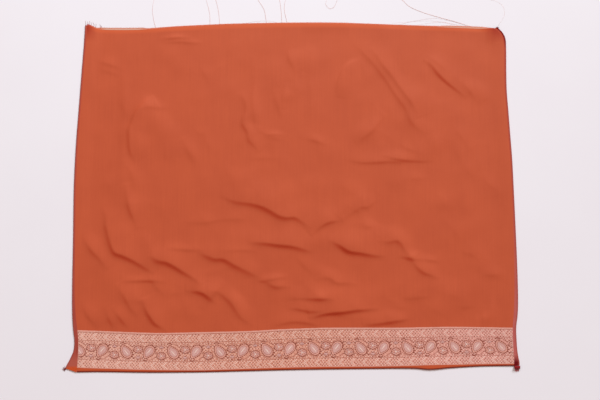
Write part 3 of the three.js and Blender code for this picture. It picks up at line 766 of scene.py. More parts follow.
class Chart:
    """Collects the tiles and ribbons of one repeat for one colour of thread."""

    def __init__(self):
        self.points = []
        self.faces = []

    def tile(self, outline, top, rings=1):
        """A closed flat tile, with rings of points inside it so that it can bend with the cloth."""
        count = len(outline)
        middle = outline.mean(axis=0)
        first = len(self.points)
        for ring in range(rings):
            share = 1 - ring / rings
            self.points += [(*(middle + (p - middle) * share), top) for p in outline]
        self.points.append((*middle, top))
        self.points += [(*p, SUNK) for p in outline]
        self.points.append((*middle, SUNK))
        centre = first + rings * count
        low, low_centre = centre + 1, centre + 1 + count
        for k in range(count):
            after = (k + 1) % count
            for ring in range(rings - 1):
                outer, inner = first + ring * count, first + (ring + 1) * count
                self.faces.append([outer + k, outer + after, inner + after, inner + k])
            last_ring = first + (rings - 1) * count
            self.faces.append([last_ring + k, last_ring + after, centre])
            self.faces.append([low + k, low + after, first + after, first + k])
            self.faces.append([low + after, low + k, low_centre])

    def ribbon(self, line, width, top, closed=False):
        """A closed flat ribbon along a line of points."""
        line = np.asarray(line, float)
        if closed:
            ahead = np.roll(line, -1, axis=0) - np.roll(line, 1, axis=0)
        else:
            ahead = np.gradient(line, axis=0)
        side = np.stack([-ahead[:, 1], ahead[:, 0]], axis=-1)
        side *= width / 2 / np.linalg.norm(side, axis=1, keepdims=True)
        first, count = len(self.points), len(line)
        for left, right in zip(line + side, line - side):
            self.points += [(*right, top), (*left, top), (*left, SUNK), (*right, SUNK)]
        for k in range(count if closed else count - 1):
            here, there = first + 4 * k, first + 4 * ((k + 1) % count)
            for corner in range(4):
                other = (corner + 1) % 4
                self.faces.append([here + corner, there + corner, there + other, here + other])
        if not closed:
            last = first + 4 * (count - 1)
            self.faces.append([first, first + 1, first + 2, first + 3])
            self.faces.append([last + 3, last + 2, last + 1, last])


print("a leaf's outline has", len(leaf(8, 3)), "points and a paisley's", len(paisley(38, 25, -4)))

# %% [markdown]
# The figures themselves, one chart for each colour of thread. Peach and lilac threads fill the
# bodies, light ones make the highlights and the guards' steps, and the rust of the warp shows
# through as outlines and dots.

# %% One repeat of the chart
peach_chart, lilac_chart, light_chart, rust_chart = Chart(), Chart(), Chart(), Chart()
FIGURE_PITCH = REPEAT / 4
HIGH_ROSETTE, UP_PAISLEY, LOW_ROSETTE, DOWN_PAISLEY = 3.7, 29.0, 61.0, 89.0
DOTS = 16
ROW_PITCH = 4.2
BEAD_SPACING = 5.4
PAISLEY_LEAN = 50
DOT_DRAW = np.random.default_rng(5)


def place_beads(places, size=2.9):
    """Dark knots of warp, as where a drawn line steps from one thread to the next."""
    for place in places:
        rust_chart.tile(turned(oval(size, size * 0.9, 6), 0, place), 0.25)


def evenly(outline, spacing):
    """Places at even steps round a closed outline."""
    closed = np.concatenate([outline, outline[:1]])
    walked = np.concatenate([[0], np.cumsum(np.linalg.norm(np.diff(closed, axis=0), axis=1))])
    steps = np.arange(0, walked[-1] - spacing / 2, spacing)
    return np.stack([np.interp(steps, walked, closed[:, k]) for k in range(2)], axis=-1)


def place_paisley(centre_s, lean):
    """lean is 1 for a head at the upper right, -1 for one at the lower right."""
    body = paisley(38, 25.5, -4) * (1, lean)
    if lean < 0:
        body = body[::-1]
    centre = np.array([centre_s, MAIN_MIDDLE])
    outline = turned(body, PAISLEY_LEAN * lean, centre)
    toward_head = np.array([1.6, 2.2 * lean])
    rust_chart.ribbon(outline, 1.1, 0.22, closed=True)
    place_beads(evenly(outline, BEAD_SPACING), 2.9)
    peach_chart.tile(shrunk(outline, 0.95), 0.15, rings=3)
    rust_chart.ribbon(shrunk(outline, 0.72, toward_head * 0.4), 0.7, 0.24, closed=True)
    lilac_chart.tile(shrunk(outline, 0.68, toward_head * 0.5), 0.26, rings=2)
    light_chart.tile(turned(leaf(17, 2.4) - (8.5, 0), PAISLEY_LEAN * lean, centre + toward_head), 0.3)
    place_beads((centre + (17.5 + 1.4 * (-1) ** k, lean * (4.6 * k - 2)) for k in range(5)), 3.5)
    tail_arc = [(-12.5 + 3.2 * k, -lean * (20.6 + 1.6 * math.sin(math.pi * k / 3))) for k in range(4)]
    place_beads(centre + tail_arc, 3.4)


def place_rosette(centre_s, rise):
    centre = np.array([centre_s, MAIN_MIDDLE + rise])
    rim = turned(oval(22.5, 19, 26), 0, centre)
    rust_chart.ribbon(rim, 1.2, 0.21, closed=True)
    place_beads(evenly(rim, BEAD_SPACING), 2.7)
    peach_chart.tile(turned(oval(21, 17.6, 20), 0, centre), 0.14, rings=2)
    for petal in range(6):
        flower = turned(leaf(7.4, 4.4) + (1.6, 0), petal * 60, (0, 0)) * (1.0, 0.86) + centre
        rust_chart.ribbon(shrunk(flower, 1.14), 0.8, 0.19, closed=True)
        (peach_chart if petal % 2 else lilac_chart).tile(flower, 0.24)
    light_chart.tile(turned(oval(4.2, 3.6, 8), 0, centre), 0.26)


def place_sprig(centre, facing):
    """Three leaves and a dot."""
    for spread in (-48, 0, 48):
        shape = turned(leaf(8.4 if spread == 0 else 7.0, 3.4), facing + spread, centre)
        rust_chart.ribbon(shrunk(shape, 1.2), 0.9, 0.17, closed=True)
        lilac_chart.tile(shape, 0.23)
    place_beads([centre])


def place_stem(middle, swing):
    """A scalloped stem that dips at each figure, with a dark bud at each cusp between two."""
    s = np.linspace(0, REPEAT, 49)
    t = middle + swing * np.cos(math.tau * (s - HIGH_ROSETTE) / FIGURE_PITCH)
    rust_chart.ribbon(np.stack([s, t], axis=-1), 0.7, 0.12)
    place_beads(np.stack([s, t], axis=-1)[1::3], 2.2)


def place_guard(middle):
    """Pairs of light steps that point along the band, on a staggered field of dots."""
    tips = [(UP_PAISLEY + 9 + k * FIGURE_PITCH) % REPEAT for k in range(4)]
    for tip in tips:
        for step in range(-3, 4):
            place = (tip + 2.9 * abs(step), middle + 2.5 * step)
            light_chart.tile(turned(oval(3.2, 2.1, 6), 0, place), 0.28)
    for k in range(DOTS):
        for row in range(-2, 3):
            s = (k + 0.25 + 0.5 * (row % 2)) * REPEAT / DOTS
            from_tip = min((s - tip) % REPEAT for tip in tips)
            if not (from_tip < 9.5 and abs(abs(row * ROW_PITCH) - from_tip * 0.86) < 2.2):
                place_dot(s, middle + row * ROW_PITCH, 2.6)


def place_ground():
    """The same dots wherever no figure lies between the two guards."""
    figures = (
        (HIGH_ROSETTE, 6, 13, 12), (HIGH_ROSETTE, -15, 7, 7), (HIGH_ROSETTE + REPEAT, 6, 13, 12),
        (HIGH_ROSETTE + REPEAT, -15, 7, 7), (LOW_ROSETTE, -9.5, 13, 12), (LOW_ROSETTE, 13, 7, 7),
        (UP_PAISLEY, 0, 16, 22), (DOWN_PAISLEY, 0, 16, 22),
    )
    for k in range(DOTS):
        for row in range(-5, 6):
            s, rise = (k + 0.5 * (row % 2)) * REPEAT / DOTS, row * ROW_PITCH
            if all(((s - at) / wide) ** 2 + ((rise - up) / tall) ** 2 > 1 for at, up, wide, tall in figures):
                place_dot(s, MAIN_MIDDLE + rise, 2.5)


def place_dot(s, t, size):
    """A dark dot of warp with a bright float of metal thread beside it."""
    drift, share = DOT_DRAW.uniform(-0.6, 0.6, 2), DOT_DRAW.uniform(0.7, 1.15)
    rust_chart.tile(turned(oval(size, size * 0.8, 6) * share, 0, drift + (s, t)), 0.16)
    light_chart.tile(turned(oval(size, size * 0.8, 4), 0, drift + (s + REPEAT / DOTS / 2, t)), 0.18)


def place_line(middle, width, threads, top):
    line = np.stack([np.linspace(0, REPEAT, 25), np.full(25, middle)], axis=-1)
    threads.ribbon(line, width, top)


place_paisley(UP_PAISLEY, 1)
place_paisley(DOWN_PAISLEY, -1)
place_rosette(LOW_ROSETTE, -9.5)
place_rosette(HIGH_ROSETTE, 6.0)
place_sprig(np.array([LOW_ROSETTE, MAIN_MIDDLE + 9]), 90)
place_sprig(np.array([HIGH_ROSETTE, MAIN_MIDDLE - 11]), -90)
place_stem(62.5, 4.0)
place_stem(28.5, -4.0)
place_guard(80.0)
place_guard(11.5)
place_ground()
place_line(93.0, 3.4, peach_chart, 0.19)
place_line(1.2, 1.8, peach_chart, 0.19)
for middle in (90.2, 69.8, 21.8):
    place_line(middle, 0.6, rust_chart, 0.14)
CHARTS = (peach_chart, lilac_chart, light_chart, rust_chart)
print("faces in one repeat:", [len(part.faces) for part in CHARTS])

# %% [markdown]
# ## Weaving the repeat along the band
# Geometry Nodes set the charted repeat along a straight line and then carry every point onto the
# band: its place along and up the chart becomes a place on the band's UV map, and its height
# stands off along the cloth's own normal. Figures wholly past a selvage are left out, and one that
# would run past it stops there.

# %% Tree that weaves a repeat
def new_tree(name, inputs):
    tree = bpy.data.node_groups.new(name, "GeometryNodeTree")
    tree.interface.new_socket("Geometry", in_out="OUTPUT", socket_type="NodeSocketGeometry")
    for label, kind in inputs.items():
        tree.interface.new_socket(label, in_out="INPUT", socket_type=f"NodeSocket{kind}")
    given = add_node(tree, "NodeGroupInput").outputs
    result = add_node(tree, "NodeGroupOutput").inputs
    return tree, given, result


WEAVE_MARGIN = 0.0008


def woven_repeat_tree():
    tree, given, result = new_tree("woven repeat", {
        "Cloth": "Object", "Figures": "Object", "Repeats": "Int", "First": "Float", "Pitch": "Float",
        "Length": "Float", "Height": "Float", "Finish": "Material",
    })
    cloth = add_node(tree, "GeometryNodeObjectInfo", {"Object": given["Cloth"]}).outputs["Geometry"]
    figures = add_node(tree, "GeometryNodeObjectInfo", {"Object": given["Figures"]}).outputs["Geometry"]
    start = add_node(tree, "ShaderNodeCombineXYZ", {"X": given["First"]})
    step = add_node(tree, "ShaderNodeCombineXYZ", {"X": given["Pitch"]})
    line = add_node(tree, "GeometryNodeMeshLine", {
        "Count": given["Repeats"], "Start Location": start.outputs[0], "Offset": step.outputs[0],
    })
    set_out = add_node(tree, "GeometryNodeInstanceOnPoints", {
        "Points": line.outputs["Mesh"], "Instance": figures,
    })
    real = add_node(tree, "GeometryNodeRealizeInstances", {"Geometry": set_out.outputs["Instances"]})
    place = split(tree, add_node(tree, "GeometryNodeInputPosition").outputs["Position"])
    along = calculate(tree, "DIVIDE", place["X"], given["Length"])
    from_middle = calculate(tree, "ABSOLUTE", calculate(tree, "SUBTRACT", along, 0.5))
    on_band = add_node(tree, "GeometryNodeAccumulateField", {
        "Value": calculate(tree, "LESS_THAN", from_middle, 0.5 - WEAVE_MARGIN),
        "Group ID": add_node(tree, "GeometryNodeInputMeshIsland").outputs["Island Index"],
    })
    kept = add_node(tree, "GeometryNodeDeleteGeometry", {
        "Geometry": real.outputs["Geometry"],
        "Selection": calculate(tree, "LESS_THAN", on_band.outputs["Total"], 0.5),
    })
    ends = {"Value": along, "Min": WEAVE_MARGIN, "Max": 1 - WEAVE_MARGIN}
    stop = add_node(tree, "ShaderNodeClamp", ends).outputs["Result"]
    up = calculate(tree, "DIVIDE", place["Y"], given["Height"])
    on_chart = add_node(tree, "ShaderNodeCombineXYZ", {"X": stop, "Y": up})
    uv = add_node(tree, "GeometryNodeInputNamedAttribute", {"Name": "chart"}, data_type="FLOAT_VECTOR")
    sampled = {}
    for reads in ("Position", "Normal"):
        sampled[reads] = add_node(tree, "GeometryNodeSampleUVSurface", {
            "Mesh": cloth, "Value": add_node(tree, f"GeometryNodeInput{reads}").outputs[reads],
            "UV Map": uv.outputs["Attribute"], "Sample UV": on_chart.outputs["Vector"],
        }, data_type="FLOAT_VECTOR").outputs["Value"]
    off = add_node(tree, "ShaderNodeVectorMath", operation="SCALE")
    tree.links.new(sampled["Normal"], off.inputs["Vector"])
    tree.links.new(place["Z"], off.inputs["Scale"])
    there = add_node(tree, "ShaderNodeVectorMath", operation="ADD")
    tree.links.new(sampled["Position"], there.inputs[0])
    tree.links.new(off.outputs["Vector"], there.inputs[1])
    moved = add_node(tree, "GeometryNodeSetPosition", {
        "Geometry": kept.outputs["Geometry"], "Position": there.outputs["Vector"],
    })
    finished = add_node(tree, "GeometryNodeSetMaterial", {
        "Geometry": moved.outputs["Geometry"], "Material": given["Finish"],
    })
    tree.links.new(finished.outputs["Geometry"], result["Geometry"])
    return tree


def grow(name, tree, values):
    """Run a tree with these inputs and keep what it makes as a plain mesh piece."""
    piece = bpy.data.objects.new(name, bpy.data.meshes.new(name))
    scene.collection.objects.link(piece)
    modifier = piece.modifiers.new("nodes", "NODES")
    modifier.node_group = tree
    for item in tree.interface.items_tree:
        if item.in_out == "INPUT":
            modifier[item.identifier] = values[item.name]
    evaluated = piece.evaluated_get(bpy.context.evaluated_depsgraph_get())
    mesh = bpy.data.meshes.new_from_object(evaluated)
    piece.modifiers.remove(modifier)
    piece.data = mesh
    mesh.name = name
    return piece


weave = woven_repeat_tree()
print("tree", weave.name, "has", len(weave.nodes), "nodes")

# %% [markdown]
# The metal threads are peach, lilac and nearly white. None is a bare metal: a silk core and a metal
# strip mix, so they are part metallic, with a bump of fine horizontal floats. The dark thread is
# the rust warp itself.

# %% Zari finishes and the woven figures
def zari_finish(name, dull, bright, metallic):
    material, tree, shader = new_finish(name, {"Roughness": 0.4, "Metallic": metallic})
    place, _ = thread_bump(tree, shader, height=0.00012, across=0.0030, along=0.0007, strength=0.8)
    # painted glints: the colour goes from dull to bright in streaks along the metal threads
    painted_glints = noise(tree, place, (260.0, 900.0, 1.0), 3.0)
    paint(tree, shader, blend(tree, ramp(tree, painted_glints, 0.35, 0.7), dull, bright))
    return material


def rust_thread_finish():
    material, tree, shader = new_finish("rust_thread", {"Roughness": 0.6})
    place, _ = thread_bump(tree, shader, height=0.00008, across=0.0005, along=0.0004, strength=0.5)
    paint(tree, shader, blend(tree, noise(tree, place, 900.0, 2.0), colour(126, 46, 28), colour(160, 72, 50)))
    return material


FIRST_UP_PAISLEY = 57.5
REPEATS = 11
band_length = float(right_side["seam"](-370.0) - left_side["seam"](-370.0))
peach_zari = zari_finish("peach_zari", colour(222, 146, 128), colour(244, 184, 166), 0.1)
lilac_zari = zari_finish("lilac_zari", colour(214, 152, 142), colour(240, 190, 180), 0.15)
light_zari = zari_finish("light_zari", colour(244, 200, 184), colour(252, 228, 216), 0.1)
WOVEN = (
    ("peach_figures", peach_chart, peach_zari),
    ("lilac_figures", lilac_chart, lilac_zari),
    ("light_floats", light_chart, light_zari),
    ("rust_outlines", rust_chart, rust_thread_finish()),
)
for piece_name, threads, finish in WOVEN:
    unit = bpy.data.meshes.new(piece_name + "_repeat")
    unit.from_pydata((np.array(threads.points) * MM).tolist(), [], threads.faces)
    unit_object = bpy.data.objects.new(unit.name, unit)
    scene.collection.objects.link(unit_object)
    figures = grow(piece_name, weave, {
        "Cloth": band, "Figures": unit_object, "Repeats": REPEATS,
        "First": (FIRST_UP_PAISLEY - UP_PAISLEY - REPEAT) * MM, "Pitch": REPEAT * MM,
        "Length": band_length * MM, "Height": BAND_HEIGHT * MM, "Finish": finish,
    })
    bpy.data.objects.remove(unit_object)
    dress(figures)

# %% [markdown]
# ## Rolled edges
# At each selvage, and at the end below the border, the cloth rolls under itself: flat from the
# seam, round a small roll, and back along the table. The section is worked out from the seam, the
# outermost point and the height of the roll, and swept along the edge. Each point also keeps how
# far in from the outermost thread it lies, for the finishes that paint shade towards it.

# %% Roll section
ROLL_CELLS = 12
FLAT_CELLS = 4
SELVAGE_RETURN = 6
HEM_RETURN = 12


def roll_sections(seam, out, rise, turned_under):
    """Centre points, outward normals and distances in from the edge, for every station at once."""
    span = out - seam
    length = np.linalg.norm(span, axis=1)
    toward = span / length[:, None]
    radius = rise / 2
    middle = radius + CLOTH / 2 + TABLE_GAP
    flat = length - radius - CLOTH / 2
    steps = [(flat * k / FLAT_CELLS, 0.0) for k in range(FLAT_CELLS)]
    steps += [(flat, math.pi * k / ROLL_CELLS) for k in range(ROLL_CELLS + 1)]
    steps += [(flat - turned_under * k / FLAT_CELLS, math.pi) for k in range(1, FLAT_CELLS + 1)]
    centres, outward, inward = [], [], []
    for start, turn in steps:
        reach = start + radius * math.sin(turn)
        centres.append(np.column_stack([seam + toward * reach[:, None], middle + radius * math.cos(turn)]))
        outward.append(np.column_stack([toward * math.sin(turn), np.full(len(rise), math.cos(turn))]))
        inward.append(flat + radius - reach if turn < math.pi / 2 else np.zeros_like(reach))
    return [np.stack(part, axis=1) for part in (centres, outward, inward)]


def rolled_sheet(name, sections, material, flip=False):
    """A closed shell round a swept section."""
    centres, outward, inward = [part[:, ::-1] if flip else part for part in sections]
    piece = closed_sheet(name, centres + outward * CLOTH / 2, centres - outward * CLOTH / 2, material)
    attribute = piece.data.attributes.new("inward", "FLOAT", "POINT")
    attribute.data.foreach_set("value", np.tile(inward.ravel(), 2))
    return piece


print("points in a roll's section:", 2 * FLAT_CELLS + ROLL_CELLS + 1)

# %% [markdown]
# The selvage is woven denser than the field. Near the border it shows as a rose band, higher up it
# keeps the rust of the satin. Its outermost threads get a painted shade of darker wine all the way,
# where the roll turns away from the light, and a deeper one at the upper right corner, which curls.

# %% Selvages
def reading(tree, name, low, high):
    """A point attribute, as a share between two of its values."""
    value = add_node(tree, "ShaderNodeAttribute", attribute_name=name).outputs["Fac"]
    return ramp(tree, value, low, high)


def selvage_finish():
    levels = {"Roughness": 0.62, "Specular IOR Level": 0.0}
    material, tree, shader = new_finish("rose_selvage", levels)
    place, axes = thread_bump(tree, shader, height=0.00015, across=0.0009, along=0.0006, strength=0.7)
    up = axes["Y"]
    at_right = calculate(tree, "GREATER_THAN", axes["X"], 0.0)
    patches = noise(tree, place, (300.0, 24.0, 300.0), 4.0)
    dark_rose = blend(tree, patches, colour(148, 60, 48), colour(194, 88, 72))
    pale_rose = blend(tree, patches, colour(176, 80, 76), colour(206, 112, 104))
    rose = blend(tree, at_right, dark_rose, pale_rose)
    plain = blend(tree, ramp(tree, up, -0.34, -0.05), rose, colour(192, 84, 62))
    foot = blend(tree, ramp(tree, up, -0.472, -0.478), colour(186, 92, 76), colour(206, 84, 44))
    left_whole = blend(tree, ramp(tree, up, -0.44, -0.46), plain, foot)
    right_whole = blend(tree, ramp(tree, up, -0.446, -0.464), plain, colour(112, 22, 26))
    whole = blend(tree, at_right, left_whole, right_whole)
    # painted shade: the outermost threads turn deep wine near the upper right corner, where it curls under
    curled_corner = calculate(tree, "MULTIPLY", ramp(tree, up, 0.335, 0.36), at_right)
    corner_rim_shade = calculate(tree, "MULTIPLY", curled_corner, reading(tree, "inward", 6.0, 2.4))
    # painted shade: a darker wine towards the outermost threads, where the roll turns away from the light
    with_edge_shade = blend(tree, reading(tree, "inward", 0.6, 5.0), colour(166, 80, 70), whole)
    paint(tree, shader, blend(tree, corner_rim_shade, with_edge_shade, colour(124, 17, 21)))
    return material


selvage_threads = selvage_finish()
SIDE_CELLS = 320
BORDER_CELLS = 40


def selvage(name, side, across):
    hem_seam = np.array(lay(across, 0.0, hem_edge, hem_foot))
    up_border, up_field = np.linspace(0, 1, BORDER_CELLS + 1), np.linspace(0, 1, SIDE_CELLS)
    border = [np.array(lay(across, share, hem_foot, border_head)) for share in up_border]
    plain = [np.array(lay(across, share, border_head, raw_end)) for share in up_field]
    seam = np.array([hem_seam, *border, *plain[1:]])
    out = np.column_stack([side["outX"](seam[:, 1]), side["outY"](seam[:, 1])])
    rise = lift(seam[:, 0], seam[:, 1])
    sections = roll_sections(seam, out, rise, SELVAGE_RETURN)
    return rolled_sheet(name, sections, selvage_threads, across == 0)


left_selvage = selvage("left_selvage", left_side, 0.0)
right_selvage = selvage("right_selvage", right_side, 1.0)
dress(left_selvage, "selvage_left")
dress(right_selvage, "selvage_right")

# %% [markdown]
# ## The turned-under end
# Below the border a few millimetres of plain satin show before the cloth turns under. The flat
# keeps the plain rust, and round the fold the colour is a painted shade, nearly brown.

# %% Turned end
def turned_finish():
    material, tree, shader = new_finish("turned_satin", {"Roughness": 0.5, "Specular IOR Level": 0.2})
    thread_bump(tree, shader, height=0.00006, across=0.0004, along=0.0005, strength=0.35)
    # painted shade: nearly brown towards the outermost threads of the fold
    inner = reading(tree, "inward", 1.9, 4.0)
    paint(tree, shader, blend(tree, inner, colour(126, 34, 16), colour(198, 84, 46)))
    return material


HEM_CELLS = 480
foot = np.array([lay(share, 0.0, hem_foot, border_head) for share in np.linspace(0, 1, HEM_CELLS + 1)])
edge = np.column_stack([foot[:, 0], hem_edge(foot[:, 0])])
turned_end = rolled_sheet(
    "turned_end",
    roll_sections(foot, edge, lift(foot[:, 0], foot[:, 1]), HEM_RETURN),
    turned_finish(),
)
dress(turned_end, "turned_hem")

# %% [markdown]
# ## The raw end
# The cloth was cut from a longer saree and never hemmed. Beyond its last tight rows a loose strip
# a few millimetres wide has lost most of its crosswise threads: bright orange where it is narrow,
# sheer and creamy where it is wide.

# %% The loose strip
LOOSE_EDGE = table(["x", "reach"], [
    [-556, 4.4], [-530, 3.2], [-516, 5], [-410, 5], [-396, 2.8], [-300, 3.2], [60, 3.4], [356, 3.2],
    [384, 4.8], [470, 5], [490, 2.6], [512, 1.4],
])
SHEER = table(["x", "share"], [
    [-556, 0], [-520, 0.3], [-505, 1], [-420, 1], [-395, 0.2], [-340, 0], [350, 0], [385, 0.7], [470, 0.8],
    [500, 0],
])
loose_reach = follow(LOOSE_EDGE, "x", "reach")
STRIP_CELLS = {"across": 480, "up": 4}
SHEER_FADE = 2.2


def loose_finish():
    material, tree, shader = new_finish("loose_threads", {"Roughness": 0.7})
    axes = split(tree, add_node(tree, "ShaderNodeTexCoord").outputs["Object"])
    threads = stripes(tree, axes["X"], 0.0009)
    bump = add_node(tree, "ShaderNodeBump", {"Height": threads, "Distance": 0.0002, "Strength": 0.7})
    tree.links.new(bump.outputs["Normal"], shader.inputs["Normal"])
    bright = blend(tree, threads, colour(204, 86, 44), colour(222, 104, 60))
    pale = blend(tree, threads, colour(206, 140, 116), colour(228, 178, 152))
    tint = blend(tree, reading(tree, "sheer", 0.0, 1.0), bright, pale)
    # painted shade towards the two upper corners, as on the satin
    paint(tree, shader, paint_corner_shade(tree, axes, tint))
    return material


loose_threads = loose_finish()
strip_up, strip_across = np.meshgrid(
    np.linspace(0, 1, STRIP_CELLS["up"] + 1), np.linspace(0, 1, STRIP_CELLS["across"] + 1), indexing="ij"
)
strip_x, strip_y = lay(strip_across, 1.0, border_head, raw_end)
strip_lift = lift(strip_x, strip_y) + TABLE_GAP
strip_grid = np.stack(
    [strip_x, strip_y + 0.05 + loose_reach(strip_x) * strip_up, strip_lift * (1 - 0.25 * strip_up)], axis=-1
)
loose_strip = closed_sheet("loose_strip", raised(strip_grid, CLOTH), strip_grid, loose_threads)
chart(loose_strip, STRIP_CELLS["up"] + 1, STRIP_CELLS["across"] + 1)
fade = np.clip(SHEER_FADE * (1 - strip_up.ravel()), 0, 1)
sheer_share = np.interp(strip_x.ravel(), SHEER["x"], SHEER["share"]) * fade
sheer_layer = loose_strip.data.attributes.new("sheer", "FLOAT", "POINT")
sheer_layer.data.foreach_set("value", np.tile(sheer_share, 2))
dress(loose_strip, "frayed_end")

# %% [markdown]
# Short threads stand out of the strip all along it. A Geometry Nodes tree scatters copies of one
# bent strand along a stretch of the strip's outer edge, each with its own length and lean.

# %% Fringe tree
def fringe_tree():
    tree, given, result = new_tree("fringe", {
        "Cloth": "Object", "Strand": "Object", "Count": "Int", "From": "Float", "To": "Float",
        "Least": "Float", "Most": "Float", "Lean": "Float", "Seed": "Int", "Finish": "Material",
    })
    cloth = add_node(tree, "GeometryNodeObjectInfo", {"Object": given["Cloth"]}).outputs["Geometry"]
    strand = add_node(tree, "GeometryNodeObjectInfo", {"Object": given["Strand"]}).outputs["Geometry"]
    roots = add_node(tree, "GeometryNodeMeshLine", {"Count": given["Count"]}).outputs["Mesh"]
    index = add_node(tree, "GeometryNodeInputIndex").outputs["Index"]
    jitter = add_node(tree, "FunctionNodeRandomValue", {"Seed": given["Seed"]}, data_type="FLOAT")
    share = calculate(tree, "DIVIDE", calculate(tree, "ADD", index, jitter.outputs[1]), given["Count"])
    across = add_node(tree, "ShaderNodeMapRange", {
        "Value": share, "To Min": given["From"], "To Max": given["To"],
    })
    on_chart = add_node(tree, "ShaderNodeCombineXYZ", {"X": across.outputs["Result"], "Y": 0.99})
    uv = add_node(tree, "GeometryNodeInputNamedAttribute", {"Name": "chart"}, data_type="FLOAT_VECTOR")
    at = add_node(tree, "GeometryNodeSampleUVSurface", {
        "Mesh": cloth, "Value": add_node(tree, "GeometryNodeInputPosition").outputs["Position"],
        "UV Map": uv.outputs["Attribute"], "Sample UV": on_chart.outputs["Vector"],
    }, data_type="FLOAT_VECTOR")
    placed = add_node(tree, "GeometryNodeSetPosition", {
        "Geometry": roots, "Position": at.outputs["Value"], "Offset": (0, 0, -CLOTH / 2 * MM),
    })
    length = add_node(tree, "FunctionNodeRandomValue", {"Seed": given["Seed"]}, data_type="FLOAT")
    for socket, name in ((length.inputs[2], "Least"), (length.inputs[3], "Most")):
        tree.links.new(given[name], socket)
    leaning = add_node(tree, "FunctionNodeRandomValue", {"Seed": given["Seed"]}, data_type="FLOAT")
    tree.links.new(calculate(tree, "MULTIPLY", given["Lean"], -1.0), leaning.inputs[2])
    tree.links.new(given["Lean"], leaning.inputs[3])
    leaning.inputs["ID"].default_value = 5
    scale = add_node(tree, "ShaderNodeCombineXYZ", {"X": 1.0, "Y": length.outputs[1], "Z": 1.0})
    turn = add_node(tree, "ShaderNodeCombineXYZ", {"X": 0.02, "Z": leaning.outputs[1]})
    spin = add_node(tree, "FunctionNodeEulerToRotation", {"Euler": turn.outputs[0]})
    copies = add_node(tree, "GeometryNodeInstanceOnPoints", {
        "Points": placed.outputs["Geometry"], "Instance": strand,
        "Rotation": spin.outputs["Rotation"], "Scale": scale.outputs["Vector"],
    })
    real = add_node(tree, "GeometryNodeRealizeInstances", {"Geometry": copies.outputs["Instances"]})
    finished = add_node(tree, "GeometryNodeSetMaterial", {
        "Geometry": real.outputs["Geometry"], "Material": given["Finish"],
    })
    tree.links.new(finished.outputs["Geometry"], result["Geometry"])
    return tree


fringe = fringe_tree()
print("tree", fringe.name, "has", len(fringe.nodes), "nodes")

# %% [markdown]
# Loose threads are thin tubes along smooth routes. The same maker serves the strand of the fringe,
# the long threads that trail off the raw end, and the frayed corners.

# %% Thin threads
def thread_tubes(name, routes, thickness, material, sides=3, place=to_model):
    """One piece of many closed tubes, each a little thinner at its free end."""
    points, faces = [], []
    for route in routes:
        ahead = np.gradient(route, axis=0)
        ahead /= np.linalg.norm(ahead, axis=1, keepdims=True)
        side = np.cross(ahead, (0, 0, 1.0))
        side /= np.linalg.norm(side, axis=1, keepdims=True) + 1e-9
        upward = np.cross(side, ahead)
        first, count = len(points), len(route)
        for k in range(count):
            radius = thickness / 2 * (1 - 0.4 * k / (count - 1))
            for corner in range(sides):
                turn = math.tau * corner / sides
                points.append(route[k] + radius * (side[k] * math.cos(turn) + upward[k] * math.sin(turn)))
        for k in range(count - 1):
            for corner in range(sides):
                here, after = first + k * sides + corner, first + k * sides + (corner + 1) % sides
                faces.append([after, here, here + sides, after + sides])
        faces.append([first + corner for corner in range(sides)])
        faces.append([first + (count - 1) * sides + corner for corner in reversed(range(sides))])
    return make_piece(name, points, faces, material, sharp_above=120, place=place)


def raw_thread_finish(name, tint, roughness=0.7):
    return new_finish(name, {"Base Color": tint, "Roughness": roughness, "Specular IOR Level": 0.12})[0]


pale_thread = raw_thread_finish("pale_thread", colour(222, 160, 138))
orange_thread = raw_thread_finish("orange_thread", colour(226, 118, 76))
bent = smooth_route([[0, 0, 0], [0.1, 0.5, 0], [0, 1, 0]], 2)
strand = thread_tubes("strand", [bent], 0.34, orange_thread, place=lambda points: np.array(points) * MM)
FRINGES = (
    # name, count, the stretch from and to, least and most length, lean, seed and finish
    ("raw_fringe", 1150, 0.155, 0.86, 0.4, 1.9, 0.5, 11, orange_thread),
    ("left_fray", 110, 0.03, 0.155, 1.0, 3.4, 0.7, 12, pale_thread),
    ("right_fray", 120, 0.86, 0.99, 0.8, 3.0, 0.7, 13, pale_thread),
)
for name, count, start, end, least, most, lean, seed, finish in FRINGES:
    piece = grow(name, fringe, {
        "Cloth": loose_strip, "Strand": strand, "Count": count, "From": start, "To": end,
        "Least": least, "Most": most, "Lean": lean, "Seed": seed, "Finish": finish,
    })
    dress(piece)
bpy.data.objects.remove(strand)

# %% [markdown]
# A few warp threads have pulled out and trail over the table, the longest in a wide loop. Others
# are finer, and a row of short dark ends stands up at the upper left corner.

# %% Long threads
LONG_THREADS = [
    [[-375, 451], [-381, 472], [-385, 504], [-380, 534]],
    [[-234, 458], [-236, 492], [-246, 530]],
    [[-209, 460], [-213, 498], [-222, 534], [-225, 542]],
    [[-87, 463], [-93, 498], [-104, 518], [-116, 537]],
    [[-47, 464], [-49, 494], [-53, 524], [-62, 540]],
    [[-33, 464], [-41, 503], [-36, 530], [-24, 542]],
    [[443, 455], [404, 468], [365, 479], [326, 491], [287, 508], [262, 530], [220, 544], [150, 548],
     [110, 539], [97, 525], [90, 509], [80, 503], [72, 507], [67, 516], [69, 525]],
]
FINE_THREADS = [
    [[430, 453], [395, 463], [340, 470], [290, 468], [240, 464]],
    [[425, 453], [372, 466], [330, 463], [300, 458]],
    [[250, 458], [300, 470], [352, 477], [390, 470], [420, 462]],
    [[-150, 461], [-120, 468], [-84, 470], [-60, 466]],
]
UPPER_LOOP = [
    [511, 451.6, 3.4], [525, 471, 2.2], [533, 487, 0.4], [531, 507, 0.4], [517, 521, 0.4], [491, 529, 0.4],
]
